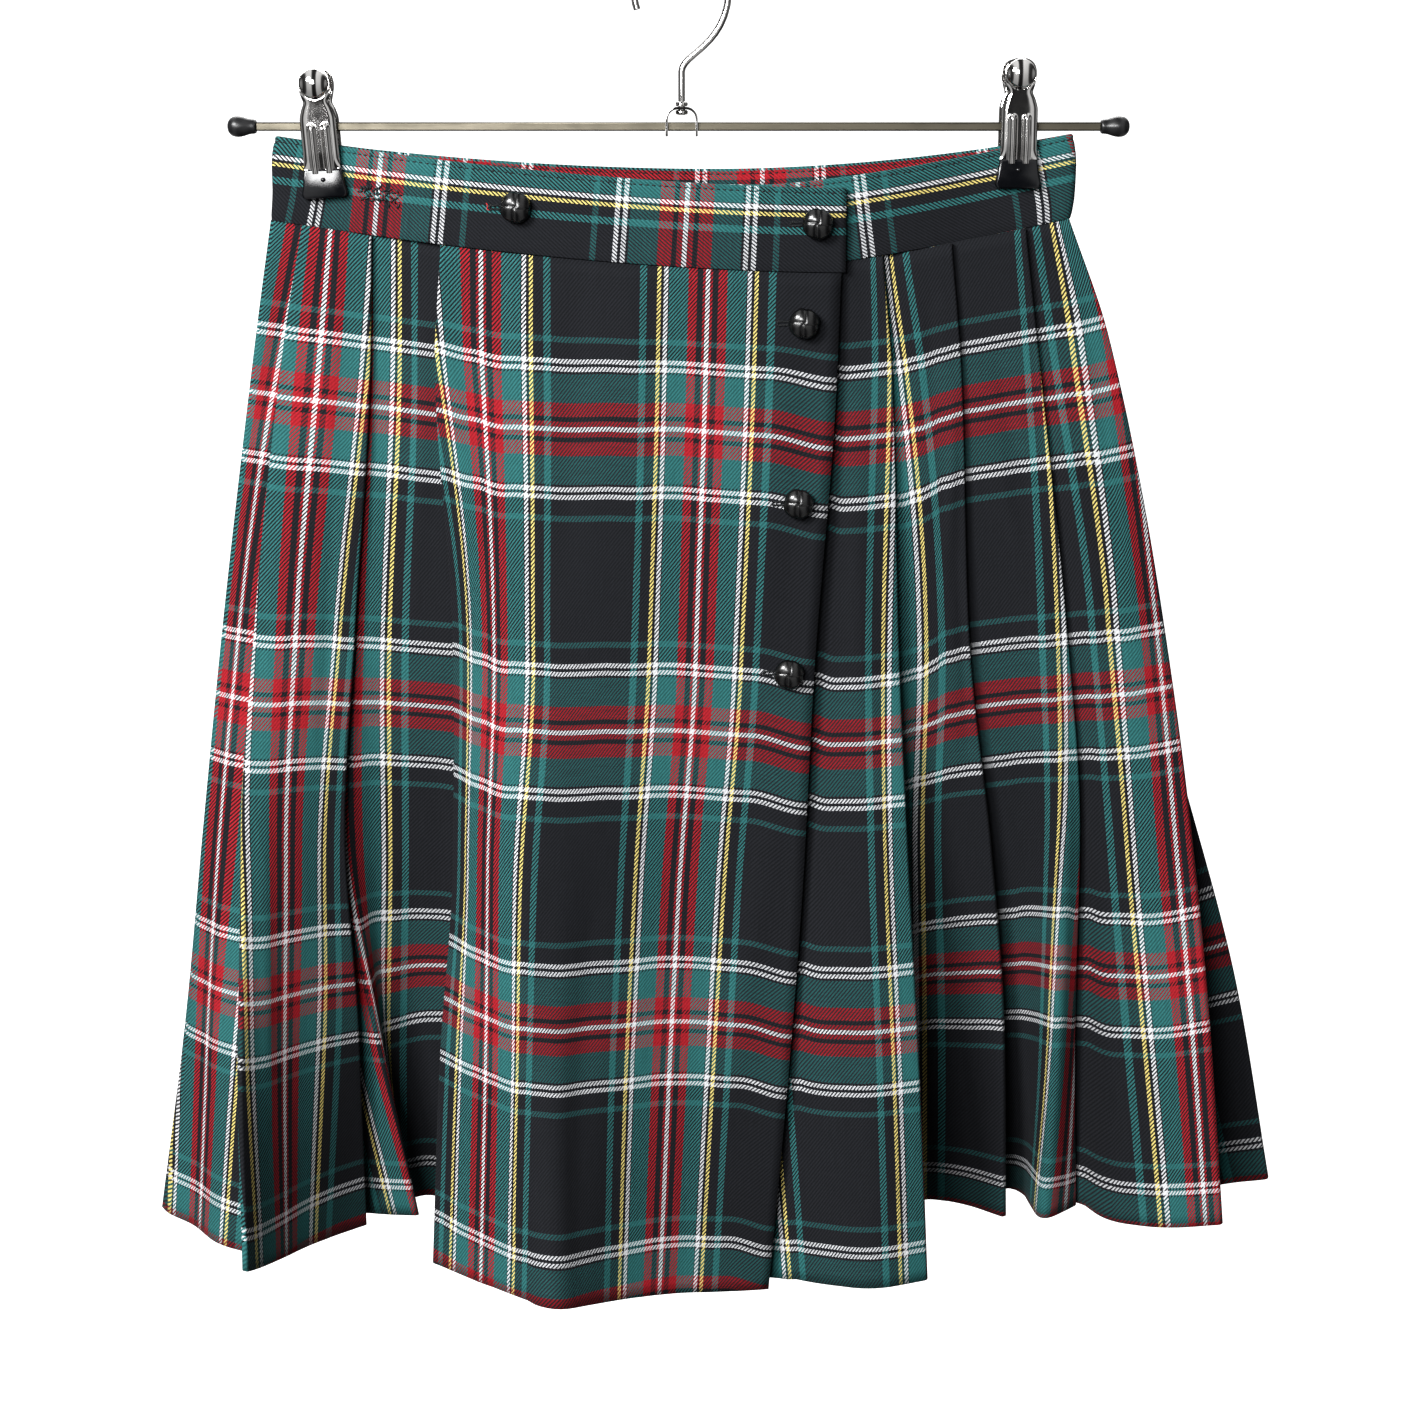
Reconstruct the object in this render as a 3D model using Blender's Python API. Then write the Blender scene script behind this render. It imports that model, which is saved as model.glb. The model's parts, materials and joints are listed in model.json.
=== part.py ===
"""A pleated tartan wrap skirt, hung by its waistband from a bar hanger with two spring clips.

Axes: +X is the viewer's right, -Y is the skirt's front, +Z is up. The origin is the inside top
of the hanger's hook, where a rail carries it. Sizes are in millimetres, and the meshes in metres.
"""

import math

import bmesh
import bpy
from mathutils import Matrix, Vector

MM = 0.001

# Driving sizes of the skirt
SKIRT_LENGTH = 506.0
CLOTH_WALL = 1.1
BAND_WALL = 2.3
BAND_HEIGHT = 39.0
SEAM_GAP = 0.3
FOLD_GAP = 2.1
BACK_PLEATS = 8

# Driving sizes of the hanger
BAR_SIDE = 4.0
BAR_LENGTH = 396.0
BAR_MIDDLE_X = -1.5
BAR_TOP_Z = -79.0
WIRE_RADIUS = 1.65
HOOK_RADIUS = 22.0
CLIP_X = {"left": -170.0, "right": 158.0}
CLIP_DROP = {"left": 0.0, "right": 4.5}

# Driving sizes of the buttons
BUTTON_RADIUS = 7.2
BUTTON_HEIGHT = 6.5

# How far below the waist seam, along the cloth, the tables give each line's place
LEVELS = (0.0, 60.0, 190.0, 300.0, 400.0, SKIRT_LENGTH)
# How far below the waist seam the wall has its rings
RINGS = (0.0, 40.0, 90.0, 145.0, 200.0, 255.0, 310.0, 370.0, 435.0, SKIRT_LENGTH)

# Each row is one line of the cloth from the waist seam down to the hem. The kind is FOLD for a
# pressed edge, SOFT for a line on a smooth stretch, END for a free edge and SEAM for a join.
# Then come x and y at each of LEVELS.
FOLD, SOFT, END, SEAM = "fold", "soft", "end", "seam"

UNDER_APRON = (
    ("free edge", END, (-78, -78, -78, -77, -76, -74), (-9.5, -10, -11, -13, -17, -20)),
    ("under left", SOFT, (-42, -42, -42, -41, -40, -38), (-12, -13, -16, -19, -26, -34)),
    ("under middle", SOFT, (8, 8, 8, 8, 7, 6), (-12.5, -13, -13, -15, -22, -31)),
    ("under right", SOFT, (62, 60, 54, 50, 46, 42), (-11.5, -12, -14.5, -18, -24, -29)),
    ("front left", SOFT, (80, 79, 75, 70, 68, 68), (-10.5, -11, -15, -23, -33, -45)),
    ("front middle", SOFT, (87, 90, 92, 93, 95, 96), (-9.5, -10.5, -15.5, -27, -41, -56)),
    ("front edge", FOLD, (94.5, 100, 105, 111, 117, 122), (-9.4, -9.6, -13, -23, -35, -46)),
    ("under front edge", FOLD, (80, 85, 88, 94, 99, 104), (-7.3, -7.4, -8, -9, -9, -8)),
    ("side seam", SEAM, (87, 92, 97, 102, 105, 107), (-6.2, -6, -5, 0, 7, 15)),
)

RIGHT_PLEATS = (
    ("second left", SOFT, (100, 104, 107, 110, 112, 112), (-6.4, -6, -3, 8, 20, 33)),
    ("second deep", SOFT, (109, 113, 116, 121, 125, 128), (-7.2, -6.8, -3.5, 7, 25, 44)),
    ("second right", SOFT, (119, 124, 129, 138, 146, 150), (-7.9, -7.4, -5, 4, 17, 33)),
    ("second edge", FOLD, (127, 133, 140, 154, 164, 168), (-7.0, -6.6, -4.2, 0, 9, 16)),
    ("under second edge", FOLD, (115, 120, 126, 142, 155, 162), (-4.6, -4.0, -0.6, 8.5, 21, 38)),
    ("third left", SOFT, (130, 136, 146, 160, 168, 173), (-4.2, -3.7, 1, 8, 24, 46)),
    ("third middle", SOFT, (146, 153, 166, 176, 179, 180), (-4.8, -4.4, -2, 4, 14, 34)),
    ("third ridge", SOFT, (154, 162, 178, 190, 190, 185), (-5.1, -5.2, -6, -6, -5, -2)),
    ("third edge", FOLD, (162, 170, 187, 198, 200, 205), (-4.4, -4.7, -6, -1, 7, 15)),
    ("under third edge", FOLD, (150, 158, 175, 188, 193, 197), (-2.3, -2.4, -1, 5, 14, 25)),
    ("fourth valley", SOFT, (163, 171, 190, 201, 205, 208), (-1.4, -1.6, -3, 3, 11, 16)),
    ("fourth left", SOFT, (170, 181, 204, 212, 216, 219), (-1.5, -2.8, -7, -8, -8, -12)),
    ("fourth middle", SOFT, (177, 193, 219, 233, 241, 246), (-1.4, -2.8, -8, -13, -21, -31)),
    ("fourth edge", FOLD, (183, 204, 233, 250, 261, 270), (-0.2, -0.4, -3, -13, -26, -38)),
    ("under fourth edge", SOFT, (179, 199, 228, 246, 260, 266), (1.5, 2.2, 2.5, -2, -5, -8)),
    ("fifth fold", SOFT, (174, 193, 226, 244, 257, 266), (2.0, 3.2, 4.5, 3, 5, 11)),
    ("fifth middle", SOFT, (169, 187, 223, 248, 270, 286), (2.1, 3.6, 5.5, 5, 8, 12)),
    ("right side", FOLD, (163, 181, 219, 254, 282, 303), (2.3, 4, 6.5, 7, 7.5, 7)),
)

# The rows of the right pleats that hang from the back of the waistband
BEHIND_SIDE = ("under fourth edge", "fifth fold", "fifth middle", "right side")

LEFT_PLEATS = (
    ("left side", FOLD, (-194, -204, -224, -239, -252, -269), (0, 0, 0, 0, 0, -1)),
    ("side left", SOFT, (-193, -203, -222, -236, -249, -264), (-1.4, -1.8, -3, -5, -7, -9)),
    ("side middle", SOFT, (-185, -195, -214, -228, -239, -249), (-1.5, -2, -5, -10, -16, -19)),
    ("side right", SOFT, (-175, -186, -205, -219, -228, -233), (-1.5, -2, -6, -15, -28, -43)),
    ("under first edge", FOLD, (-166, -177, -195, -207, -212, -209), (-2.5, -3.2, -8, -18, -36, -56)),
    ("first edge", FOLD, (-179, -190, -207, -215, -215, -211), (-4.6, -5.6, -13, -30, -57, -88)),
    ("first left", SOFT, (-172, -181, -196, -204, -205, -203), (-5.6, -7.5, -15, -27, -44, -62)),
    ("first middle", SOFT, (-163, -169, -184, -190, -190, -190), (-5.6, -7.5, -13, -20, -26, -32)),
    ("first right", SOFT, (-154, -158, -171, -178, -175, -176), (-5.6, -7, -10, -13, -13, -12)),
    ("first fold", FOLD, (-147, -149, -160, -168, -165, -165), (-4.8, -6, -8, -9, -4, 2)),
    ("under first fold", FOLD, (-160, -163, -176, -184, -182, -180), (-2.7, -3.4, -4, -2, 4, 11)),
    ("strip left", SOFT, (-153, -155, -168, -178, -172, -165), (-1.8, -2, -1.5, 2, 7, 12)),
    ("strip edge", FOLD, (-146, -148, -159, -167, -156, -139), (-2.2, -2.6, -3, -3, 3, 9)),
    ("inner left", SOFT, (-139, -140, -147, -154, -156, -151), (-3.4, -3.2, -1, 6, 18, 30)),
    ("inner middle", SOFT, (-128, -128, -134, -137, -139, -137), (-5.4, -5, -2, 8, 25, 42)),
    ("inner right", SOFT, (-112, -114, -112, -113, -114, -114), (-7.6, -7, -5, 3, 18, 32)),
    ("under apron edge", FOLD, (-86, -89, -86, -88, -94, -98), (-10.0, -10, -9, -6, 0, 6)),
    ("apron seam", SEAM, (-97, -100, -97, -99, -106, -110), (-10.6, -11, -12, -11, -10, -10)),
)

OVER_APRON = (
    ("apron edge", FOLD, (-113, -117, -111, -113, -121, -126), (-12.2, -12.8, -15, -18, -26, -35)),
    ("apron first", SOFT, (-99, -102, -99, -101, -104, -108), (-14.2, -15.6, -19, -28, -38, -49)),
    ("apron second", SOFT, (-84, -86, -87, -86, -84, -84), (-15, -17, -23, -41, -55, -68)),
    ("apron ridge", SOFT, (-58, -60, -64, -64, -64, -62), (-16.5, -19, -26, -44, -62, -90)),
    ("apron fall", SOFT, (-30, -30, -32, -34, -36, -37), (-17.5, -20, -24, -34, -48, -65)),
    ("apron middle", SOFT, (2, 1, -2, -3, -4, -5), (-17.5, -19, -21, -25, -35, -48)),
    ("apron right", SOFT, (42, 40, 34, 30, 26, 21), (-16.5, -18, -20, -25, -33, -42)),
    ("button edge", END, (75, 73, 64, 59, 52, 43), (-15, -17, -21, -26, -33, -39)),
)

# The back follows a lens: how far it stands out at the middle, how deep each pleat's layers lie
# apart, and how wide its hidden fold is, at each of LEVELS.
BACK_BULGE = (7.0, 13.0, 29.0, 42.0, 54.0, 64.0)
BACK_LAYER = (2.1, 2.3, 3.0, 4.0, 5.0, 6.5)
BACK_UNDERLAY = (13.0, 14.0, 16.0, 18.0, 20.0, 22.0)
BACK_ROUNDNESS = 3.4
BACK_START_Y = 1.4
BACK_SEAM_SHARE = 0.035

# The waist seam sags between the clips: x of its lowest point and its height there, then for the
# left and the right side its rise to the end, the distance to it, and how sharply it rises
OVER_SEAM = (75.0, -148.0, (23.6, 269.0, 1.7), (0.0, 1.0, 1.0))
UNDER_SEAM = (40.0, -146.5, (2.0, 122.0, 1.7), (23.3, 145.0, 1.35))
BACK_SEAM = (15.0, -139.5, (14.9, 209.0, 1.9), (16.3, 170.0, 1.9))

# Trim of a corner, as a share of the shorter stretch beside it
FOLD_TRIM, SOFT_TRIM = 0.31, 0.42


def clear_scene():
    for old in list(bpy.data.objects):
        bpy.data.objects.remove(old, do_unlink=True)


def material(name, colour, roughness, metallic=0.0):
    made = bpy.data.materials.new(name)
    made.use_nodes = True
    shader = made.node_tree.nodes["Principled BSDF"]
    shader.inputs["Base Color"].default_value = (*colour, 1.0)
    shader.inputs["Roughness"].default_value = roughness
    shader.inputs["Metallic"].default_value = metallic
    made.diffuse_color = (*colour, 1.0)
    return made


def add_object(name, mesh, finish):
    made = bpy.data.objects.new(name, mesh)
    mesh.materials.append(finish)
    collection.objects.link(made)
    return made


def mesh_of(name, bm):
    bmesh.ops.recalc_face_normals(bm, faces=bm.faces)
    mesh = bpy.data.meshes.new(name)
    bm.to_mesh(mesh)
    bm.free()
    mesh.shade_smooth()
    mesh.set_sharp_from_angle(angle=math.radians(35))
    return mesh


# The sections of the cloth


def through(values, levels, at):
    """A smooth curve through values at levels, read at one level."""
    last = len(levels) - 1
    index = max(i for i in range(last) if levels[i] <= at)
    span = levels[index + 1] - levels[index]
    share = (at - levels[index]) / span

    def slope(i):
        if i == 0:
            return (values[1] - values[0]) / (levels[1] - levels[0])
        if i == last:
            return (values[last] - values[last - 1]) / (levels[last] - levels[last - 1])
        before = (values[i] - values[i - 1]) / (levels[i] - levels[i - 1])
        after = (values[i + 1] - values[i]) / (levels[i + 1] - levels[i])
        return 0.0 if before * after <= 0 else 2 * before * after / (before + after)

    rise = values[index + 1] - values[index]
    start, end = slope(index) * span, slope(index + 1) * span
    return (
        values[index]
        + start * share
        + (3 * rise - 2 * start - end) * share**2
        + (start + end - 2 * rise) * share**3
    )


def seam_z(sag, x):
    """The height of the waist seam at x."""
    low_x, low_z, left, right = sag
    rise, span, power = left if x < low_x else right
    return low_z + rise * (abs(x - low_x) / span) ** power


def back_rows():
    """The back's rows, from the right side to the left: a fold edge and its hidden fold for each pleat."""
    right_x, right_y = RIGHT_PLEATS[-1][2:]
    left_x, left_y = LEFT_PLEATS[0][2:]

    def row(name, kind, share, layers_out, underlays=0.0, aside=0.0):
        xs, ys = [], []
        for level in range(len(LEVELS)):
            width = left_x[level] - right_x[level]
            shift = underlays * BACK_UNDERLAY[level] + aside
            here = share + shift / width
            lens = 1 - abs(2 * here - 1) ** BACK_ROUNDNESS
            side_y = right_y[level] + (left_y[level] + BACK_START_Y - right_y[level]) * here
            xs.append(right_x[level] + width * here)
            ys.append(side_y + BACK_BULGE[level] * lens + BACK_LAYER[level] * layers_out)
        return (name, kind, tuple(xs), tuple(ys))

    rows = [row("right seam", SEAM, BACK_SEAM_SHARE, 0.0)]
    for pleat in range(BACK_PLEATS):
        middle = (pleat + 0.95) / (BACK_PLEATS + 0.8)
        rows.append(row(f"back panel {pleat}", SOFT, middle, 1.9, 0.5, 4.0))
        rows.append(row(f"back edge {pleat}", FOLD, middle, 1.5, -0.5))
        rows.append(row(f"back inner fold {pleat}", FOLD, middle, 0.5, 0.5))
        rows.append(row(f"back under {pleat}", SOFT, middle, 0.0, -0.5, -2.5))
        if pleat == BACK_PLEATS // 2 - 1:
            rows.append(row("centre back", SEAM, middle, 0.5, -0.5, -9.0))
    rows.append(row("left seam", SEAM, 1 - BACK_SEAM_SHARE, 0.0))
    return tuple(rows)


def split_folds(places, kinds):
    """Doubles each pressed edge into two corners a fold's gap apart, across the fold."""
    corners = []
    for i, (place, kind) in enumerate(zip(places, kinds)):
        if kind != FOLD:
            corners.append((place, kind, i))
            continue
        before = (places[i - 1] - place).normalized()
        after = (places[i + 1] - place).normalized()
        across = (before - after).normalized() * (FOLD_GAP / 2)
        corners.append((place + across, kind, i))
        corners.append((place - across, kind, i))
    return corners


def rounded(corners):
    """The corners trimmed and bent: place, row and seam mark for each point of the section."""
    points = []
    last = len(corners) - 1
    for i, (place, kind, row) in enumerate(corners):
        if i in (0, last) or kind in (SEAM, END):
            points.append((place, row, kind == SEAM))
            continue
        before = corners[i - 1][0] - place
        after = corners[i + 1][0] - place
        trim = FOLD_TRIM if kind == FOLD else SOFT_TRIM
        reach = trim * min(before.length, after.length)
        start = place + before.normalized() * reach
        end = place + after.normalized() * reach
        points.append((start, row, False))
        if kind == SOFT:
            points.append((start * 0.25 + place * 0.5 + end * 0.25, row, False))
        points.append((end, row, False))
    return points


def section(rows, below):
    places = [Vector((through(xs, LEVELS, below), through(ys, LEVELS, below))) for _, _, xs, ys in rows]
    return rounded(split_folds(places, [row[1] for row in rows]))


def hung_rings(rows, sags, rings):
    """The centre line of each ring as (x, y, z), with every column as long as the cloth is."""
    made = []
    for number, below in enumerate(rings):
        flat = section(rows, below)
        if number == 0:
            ring = [Vector((p.x, p.y, seam_z(sags[row], p.x) - SEAM_GAP)) for p, row, _ in flat]
        else:
            drop = below - rings[number - 1]
            ring = []
            for (p, _, _), above in zip(flat, made[-1]):
                aside = (p.x - above.x) ** 2 + (p.y - above.y) ** 2
                ring.append(Vector((p.x, p.y, above.z - math.sqrt(max(drop**2 - aside, drop**2 / 4)))))
        made.append(ring)
    seams = [i for i, (_, _, seam) in enumerate(section(rows, 0.0)) if seam]
    return made, seams


def offset_line(line, distance):
    """The line moved sideways in the level plane, mitred at its corners."""
    moved = []
    for i, point in enumerate(line):
        before = line[i] - line[i - 1] if i else line[1] - line[0]
        after = line[i + 1] - line[i] if i < len(line) - 1 else before
        sides = [Vector((d.y, -d.x, 0)).normalized() for d in (before, after)]
        middle = (sides[0] + sides[1]).normalized()
        moved.append(point + middle * (distance / max(middle.dot(sides[0]), 0.6)))
    return moved


def wall_mesh(name, rings, wall):
    """A closed wall lofted through rings, each an open line in the level plane."""
    bm = bmesh.new()
    loops = []
    for ring in rings:
        outer = offset_line(ring, wall / 2)
        inner = offset_line(ring, -wall / 2)
        loops.append([[bm.verts.new(p * MM) for p in side] for side in (outer, inner)])
    for above, below in zip(loops, loops[1:]):
        for side in range(2):
            for i in range(len(rings[0]) - 1):
                bm.faces.new((above[side][i], above[side][i + 1], below[side][i + 1], below[side][i]))
        for i in (0, -1):
            bm.faces.new((above[0][i], above[1][i], below[1][i], below[0][i]))
    for loop in (loops[0], loops[-1]):
        for i in range(len(rings[0]) - 1):
            bm.faces.new((loop[0][i], loop[0][i + 1], loop[1][i + 1], loop[1][i]))
    return mesh_of(name, bm)


def stretch(rings, first, last, trim_first, trim_last):
    """The rings between two points of their lines, drawn back by half a seam's gap at a seam."""
    cut = []
    for ring in rings:
        part = [point.copy() for point in ring[first : last + 1]]
        if trim_first:
            part[0] += (part[1] - part[0]).normalized() * (SEAM_GAP / 2 + 0.05)
        if trim_last:
            part[-1] += (part[-2] - part[-1]).normalized() * (SEAM_GAP / 2 + 0.05)
        cut.append(part)
    return cut


def skirt_strip():
    """All the rows in the strip's order, and the waist seam that each hangs from."""
    back = back_rows()
    rows = UNDER_APRON + RIGHT_PLEATS + back + LEFT_PLEATS + OVER_APRON
    behind = sum(row[0] in BEHIND_SIDE for row in RIGHT_PLEATS)
    in_front = len(UNDER_APRON) + len(RIGHT_PLEATS) - behind
    sags = [UNDER_SEAM] * in_front + [BACK_SEAM] * (behind + len(back))
    return rows, sags + [OVER_SEAM] * (len(rows) - len(sags))


def add_skirt():
    rings, seams = hung_rings(*skirt_strip(), RINGS)
    names = (
        "under_apron",
        "right_pleats",
        "back_right_pleats",
        "back_left_pleats",
        "left_pleats",
        "over_apron",
    )
    ends = [0] + seams + [len(rings[0]) - 1]
    for i, name in enumerate(names):
        part = stretch(rings, ends[i], ends[i + 1], i > 0, i < len(names) - 1)
        add_object(name, wall_mesh(name, part, CLOTH_WALL), tartan)


# The waistband: one strip round the waist, whose over end lies on its under end. For each of its
# three stretches comes the seam it sags with, and x and y along it.

BAND = (
    (UNDER_SEAM, (
        (-82, -8.6), (-42, -12.0), (8, -12.9), (50, -12.2), (80, -10.4), (104, -7.4), (122, -4.6),
        (136, -2.3), (147, -1.6), (160, -1.5), (174, -1.5), (183.5, -1.5), (184.6, -0.95),
    )),
    (BACK_SEAM, (
        (185, 0), (184.6, 0.95), (183.5, 1.5), (172, 1.5), (147, 1.6), (134, 3.4), (110, 6.2), (70, 8.6),
        (20, 9.8), (-30, 9.6), (-80, 8.0), (-120, 5.4), (-146, 2.6), (-160, 1.6), (-180, 1.5),
        (-193.4, 1.5), (-194.5, 0.95),
    )),
    (OVER_SEAM, (
        (-194.9, 0), (-194.5, -0.95), (-193.4, -1.5), (-182, -1.5), (-160, -1.6), (-146, -3.2),
        (-122, -8.6), (-94, -12.4), (-58, -15.2), (-28, -16.8), (2, -17.2), (38, -16.4), (62, -15.2), (77, -14.2),
    )),
)
BAND_CHORD = 26.0


def add_waistband():
    bottom = [Vector((x, y, seam_z(sag, x))) for sag, places in BAND for x, y in places]
    sags = [sag for sag, places in BAND for _ in places]
    fine = []
    for here, after, sag in zip(bottom, bottom[1:], sags):
        steps = math.ceil((after - here).length / BAND_CHORD)
        for step in range(steps):
            point = here.lerp(after, step / steps)
            if step:
                point.z = seam_z(sag, point.x)
            fine.append(point)
    fine.append(bottom[-1])
    top = [point + Vector((0, 0, BAND_HEIGHT)) for point in fine]
    add_object("waistband", wall_mesh("waistband", [top, fine], BAND_WALL), tartan_across)


# The buttons: a domed head on a short shank, its flat back against the cloth


def button_mesh(name):
    steps = 18
    profile = ((0.0, 1.0), (0.36, 0.95), (0.7, 0.76), (0.92, 0.46), (1.0, 0.2), (0.9, 0.06), (0.42, 0.0))
    bm = bmesh.new()
    verts = [
        bm.verts.new((share * BUTTON_RADIUS * MM, 0, height * BUTTON_HEIGHT * MM))
        for share, height in profile
    ]
    edges = [bm.edges.new(pair) for pair in zip(verts, verts[1:])]
    bmesh.ops.spin(
        bm, geom=verts + edges, cent=(0, 0, 0), axis=(0, 0, 1), angle=math.tau, steps=steps, use_merge=True
    )
    bmesh.ops.remove_doubles(bm, verts=bm.verts, dist=1e-6)
    rim = [edge for edge in bm.edges if edge.is_boundary]
    bmesh.ops.holes_fill(bm, edges=rim, sides=steps + 2)
    return mesh_of(name, bm)


def add_button(name, x, front_y, z, lean):
    made = add_object(name, button_mesh(name), black_leather)
    made.location = Vector((x, front_y - SEAM_GAP, z)) * MM
    made.rotation_euler = (math.radians(90 - lean), 0, 0)


def add_buttons():
    # x, the cloth's front face there, height, and how far the button leans back with the cloth
    rows = (
        ("button_band_left", -77.5, -15.05, -118.0, 0.0),
        ("button_band_right", 63.5, -16.5, -125.5, 0.0),
        ("button_1", 57.5, -17.25, -171.5, 1.6),
        ("button_2", 55.5, -19.35, -256.5, 1.1),
        ("button_3", 51.5, -21.45, -339.0, 1.2),
    )
    for row in rows:
        add_button(*row)


# The hanger


def solid_from(made):
    """A mesh copy of a curve or of an object with modifiers, with its caps welded."""
    graph = bpy.context.evaluated_depsgraph_get()
    mesh = bpy.data.meshes.new_from_object(made.evaluated_get(graph))
    bm = bmesh.new()
    bm.from_mesh(mesh)
    bmesh.ops.remove_doubles(bm, verts=bm.verts, dist=1e-6)
    bm.to_mesh(mesh)
    bm.free()
    return mesh


def box_mesh(name, low, high):
    low, high = Vector(low) * MM, Vector(high) * MM
    bm = bmesh.new()
    bmesh.ops.create_cube(bm, size=1.0)
    bmesh.ops.scale(bm, vec=high - low, verts=bm.verts)
    bmesh.ops.translate(bm, vec=(high + low) / 2, verts=bm.verts)
    return mesh_of(name, bm)


def turned_mesh(name, profile, steps, turn, centre):
    """A profile of (radius, length) spun round its length, turned and moved into place."""
    bm = bmesh.new()
    verts = [bm.verts.new((radius * MM, 0, length * MM)) for radius, length in profile]
    edges = [bm.edges.new(pair) for pair in zip(verts, verts[1:])]
    bmesh.ops.spin(
        bm, geom=verts + edges, cent=(0, 0, 0), axis=(0, 0, 1), angle=math.tau, steps=steps, use_merge=True
    )
    bmesh.ops.remove_doubles(bm, verts=bm.verts, dist=1e-6)
    bmesh.ops.transform(bm, matrix=Matrix.Translation(Vector(centre) * MM) @ turn, verts=bm.verts)
    return mesh_of(name, bm)


# A rubber cap: radius and distance out from the bar's end
CAP_PROFILE = (
    (0.0, 0.3), (3.0, 0.3), (3.4, 1.2), (3.3, 3.4), (4.4, 6.0), (5.0, 9.0), (4.6, 11.8), (2.8, 13.6), (0.0, 14.2),
)


def add_bar():
    half = BAR_SIDE / 2
    low = (BAR_MIDDLE_X - BAR_LENGTH / 2, -half, BAR_TOP_Z - BAR_SIDE)
    high = (BAR_MIDDLE_X + BAR_LENGTH / 2, half, BAR_TOP_Z)
    add_object("hanger_bar", box_mesh("hanger_bar", low, high), grey_steel)
    for side, sign in (("left", -1), ("right", 1)):
        turn = Matrix.Rotation(math.radians(90 * sign), 4, "Y")
        centre = (BAR_MIDDLE_X + sign * BAR_LENGTH / 2, 0, BAR_TOP_Z - half)
        name = f"hanger_cap_{side}"
        add_object(name, turned_mesh(name, CAP_PROFILE, 16, turn, centre), black_rubber)


# The arch over the bar: half its width, its depth and its sheet, then its top and its feet
BRACKET_HALF, BRACKET_DEPTH, BRACKET_SHEET = 7.6, 8.0, 1.1
BRACKET_TOP_Z, BRACKET_FOOT_Z = -72.0, -85.5
CUT_PAST = 5.0


def add_bracket():
    """A strip bent to an arch over the bar, with a square hole in each leg for it."""
    name = "hanger_bracket"
    made = add_object(
        name,
        box_mesh(
            name,
            (-BRACKET_HALF, -BRACKET_DEPTH / 2, BRACKET_FOOT_Z),
            (BRACKET_HALF, BRACKET_DEPTH / 2, BRACKET_TOP_Z),
        ),
        chrome,
    )
    inside = BRACKET_HALF - BRACKET_SHEET
    hole = BAR_SIDE / 2 + SEAM_GAP
    stem = WIRE_RADIUS + SEAM_GAP
    middle_z = BAR_TOP_Z - BAR_SIDE / 2
    cuts = (
        (
            (-inside, -BRACKET_DEPTH, BRACKET_FOOT_Z - CUT_PAST),
            (inside, BRACKET_DEPTH, BRACKET_TOP_Z - BRACKET_SHEET),
        ),
        (
            (-BRACKET_HALF - CUT_PAST, -hole, middle_z - hole),
            (BRACKET_HALF + CUT_PAST, hole, middle_z + hole),
        ),
        (
            (-stem, -stem, BRACKET_TOP_Z - CUT_PAST),
            (stem, stem, BRACKET_TOP_Z + CUT_PAST),
        ),
    )
    for number, (low, high) in enumerate(cuts):
        cutter = bpy.data.objects.new(f"bracket_cutter_{number}", box_mesh("cutter", low, high))
        cutter.hide_render = True
        cutter.display_type = "WIRE"
        cutters.objects.link(cutter)
        cut = made.modifiers.new(f"cut {number}", "BOOLEAN")
        cut.object = cutter
        cut.operation = "DIFFERENCE"


# The origin is the inside top of the hook, so its centre line is a wire's radius above it
HOOK_CENTRE_Z = WIRE_RADIUS - HOOK_RADIUS
HOOK_SWEEP = 200.0
HOOK_STEPS = 16
STEM_TOP_Z = -56.0
NECK_STEPS = 9
COLLAR_RADIUS = 2.9
COLLAR_HEIGHT = 2.1
# The wire's foot stands out of the riveted head
WIRE_PAST = 0.2


def hook_route():
    """The wire from under the arch up the stem, over to the right, and round the hook to its tip."""
    stem_top = Vector((0, 0, STEM_TOP_Z))
    foot_z = BRACKET_TOP_Z - BRACKET_SHEET - SEAM_GAP - COLLAR_HEIGHT - WIRE_PAST
    points = [Vector((0, 0, foot_z)), stem_top]
    neck = (stem_top, Vector((0.2, 0, -47.5)), Vector((20.5, 0, -45.0)), Vector((HOOK_RADIUS, 0, HOOK_CENTRE_Z)))
    for i in range(1, NECK_STEPS + 1):
        t = i / NECK_STEPS
        weights = ((1 - t) ** 3, 3 * t * (1 - t) ** 2, 3 * t**2 * (1 - t), t**3)
        points.append(sum((p * w for p, w in zip(neck, weights)), Vector()))
    for i in range(1, HOOK_STEPS + 1):
        angle = math.radians(i * HOOK_SWEEP / HOOK_STEPS)
        x, z = HOOK_RADIUS * math.cos(angle), HOOK_CENTRE_Z + HOOK_RADIUS * math.sin(angle)
        points.append(Vector((x, 0, z)))
    return points


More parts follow.
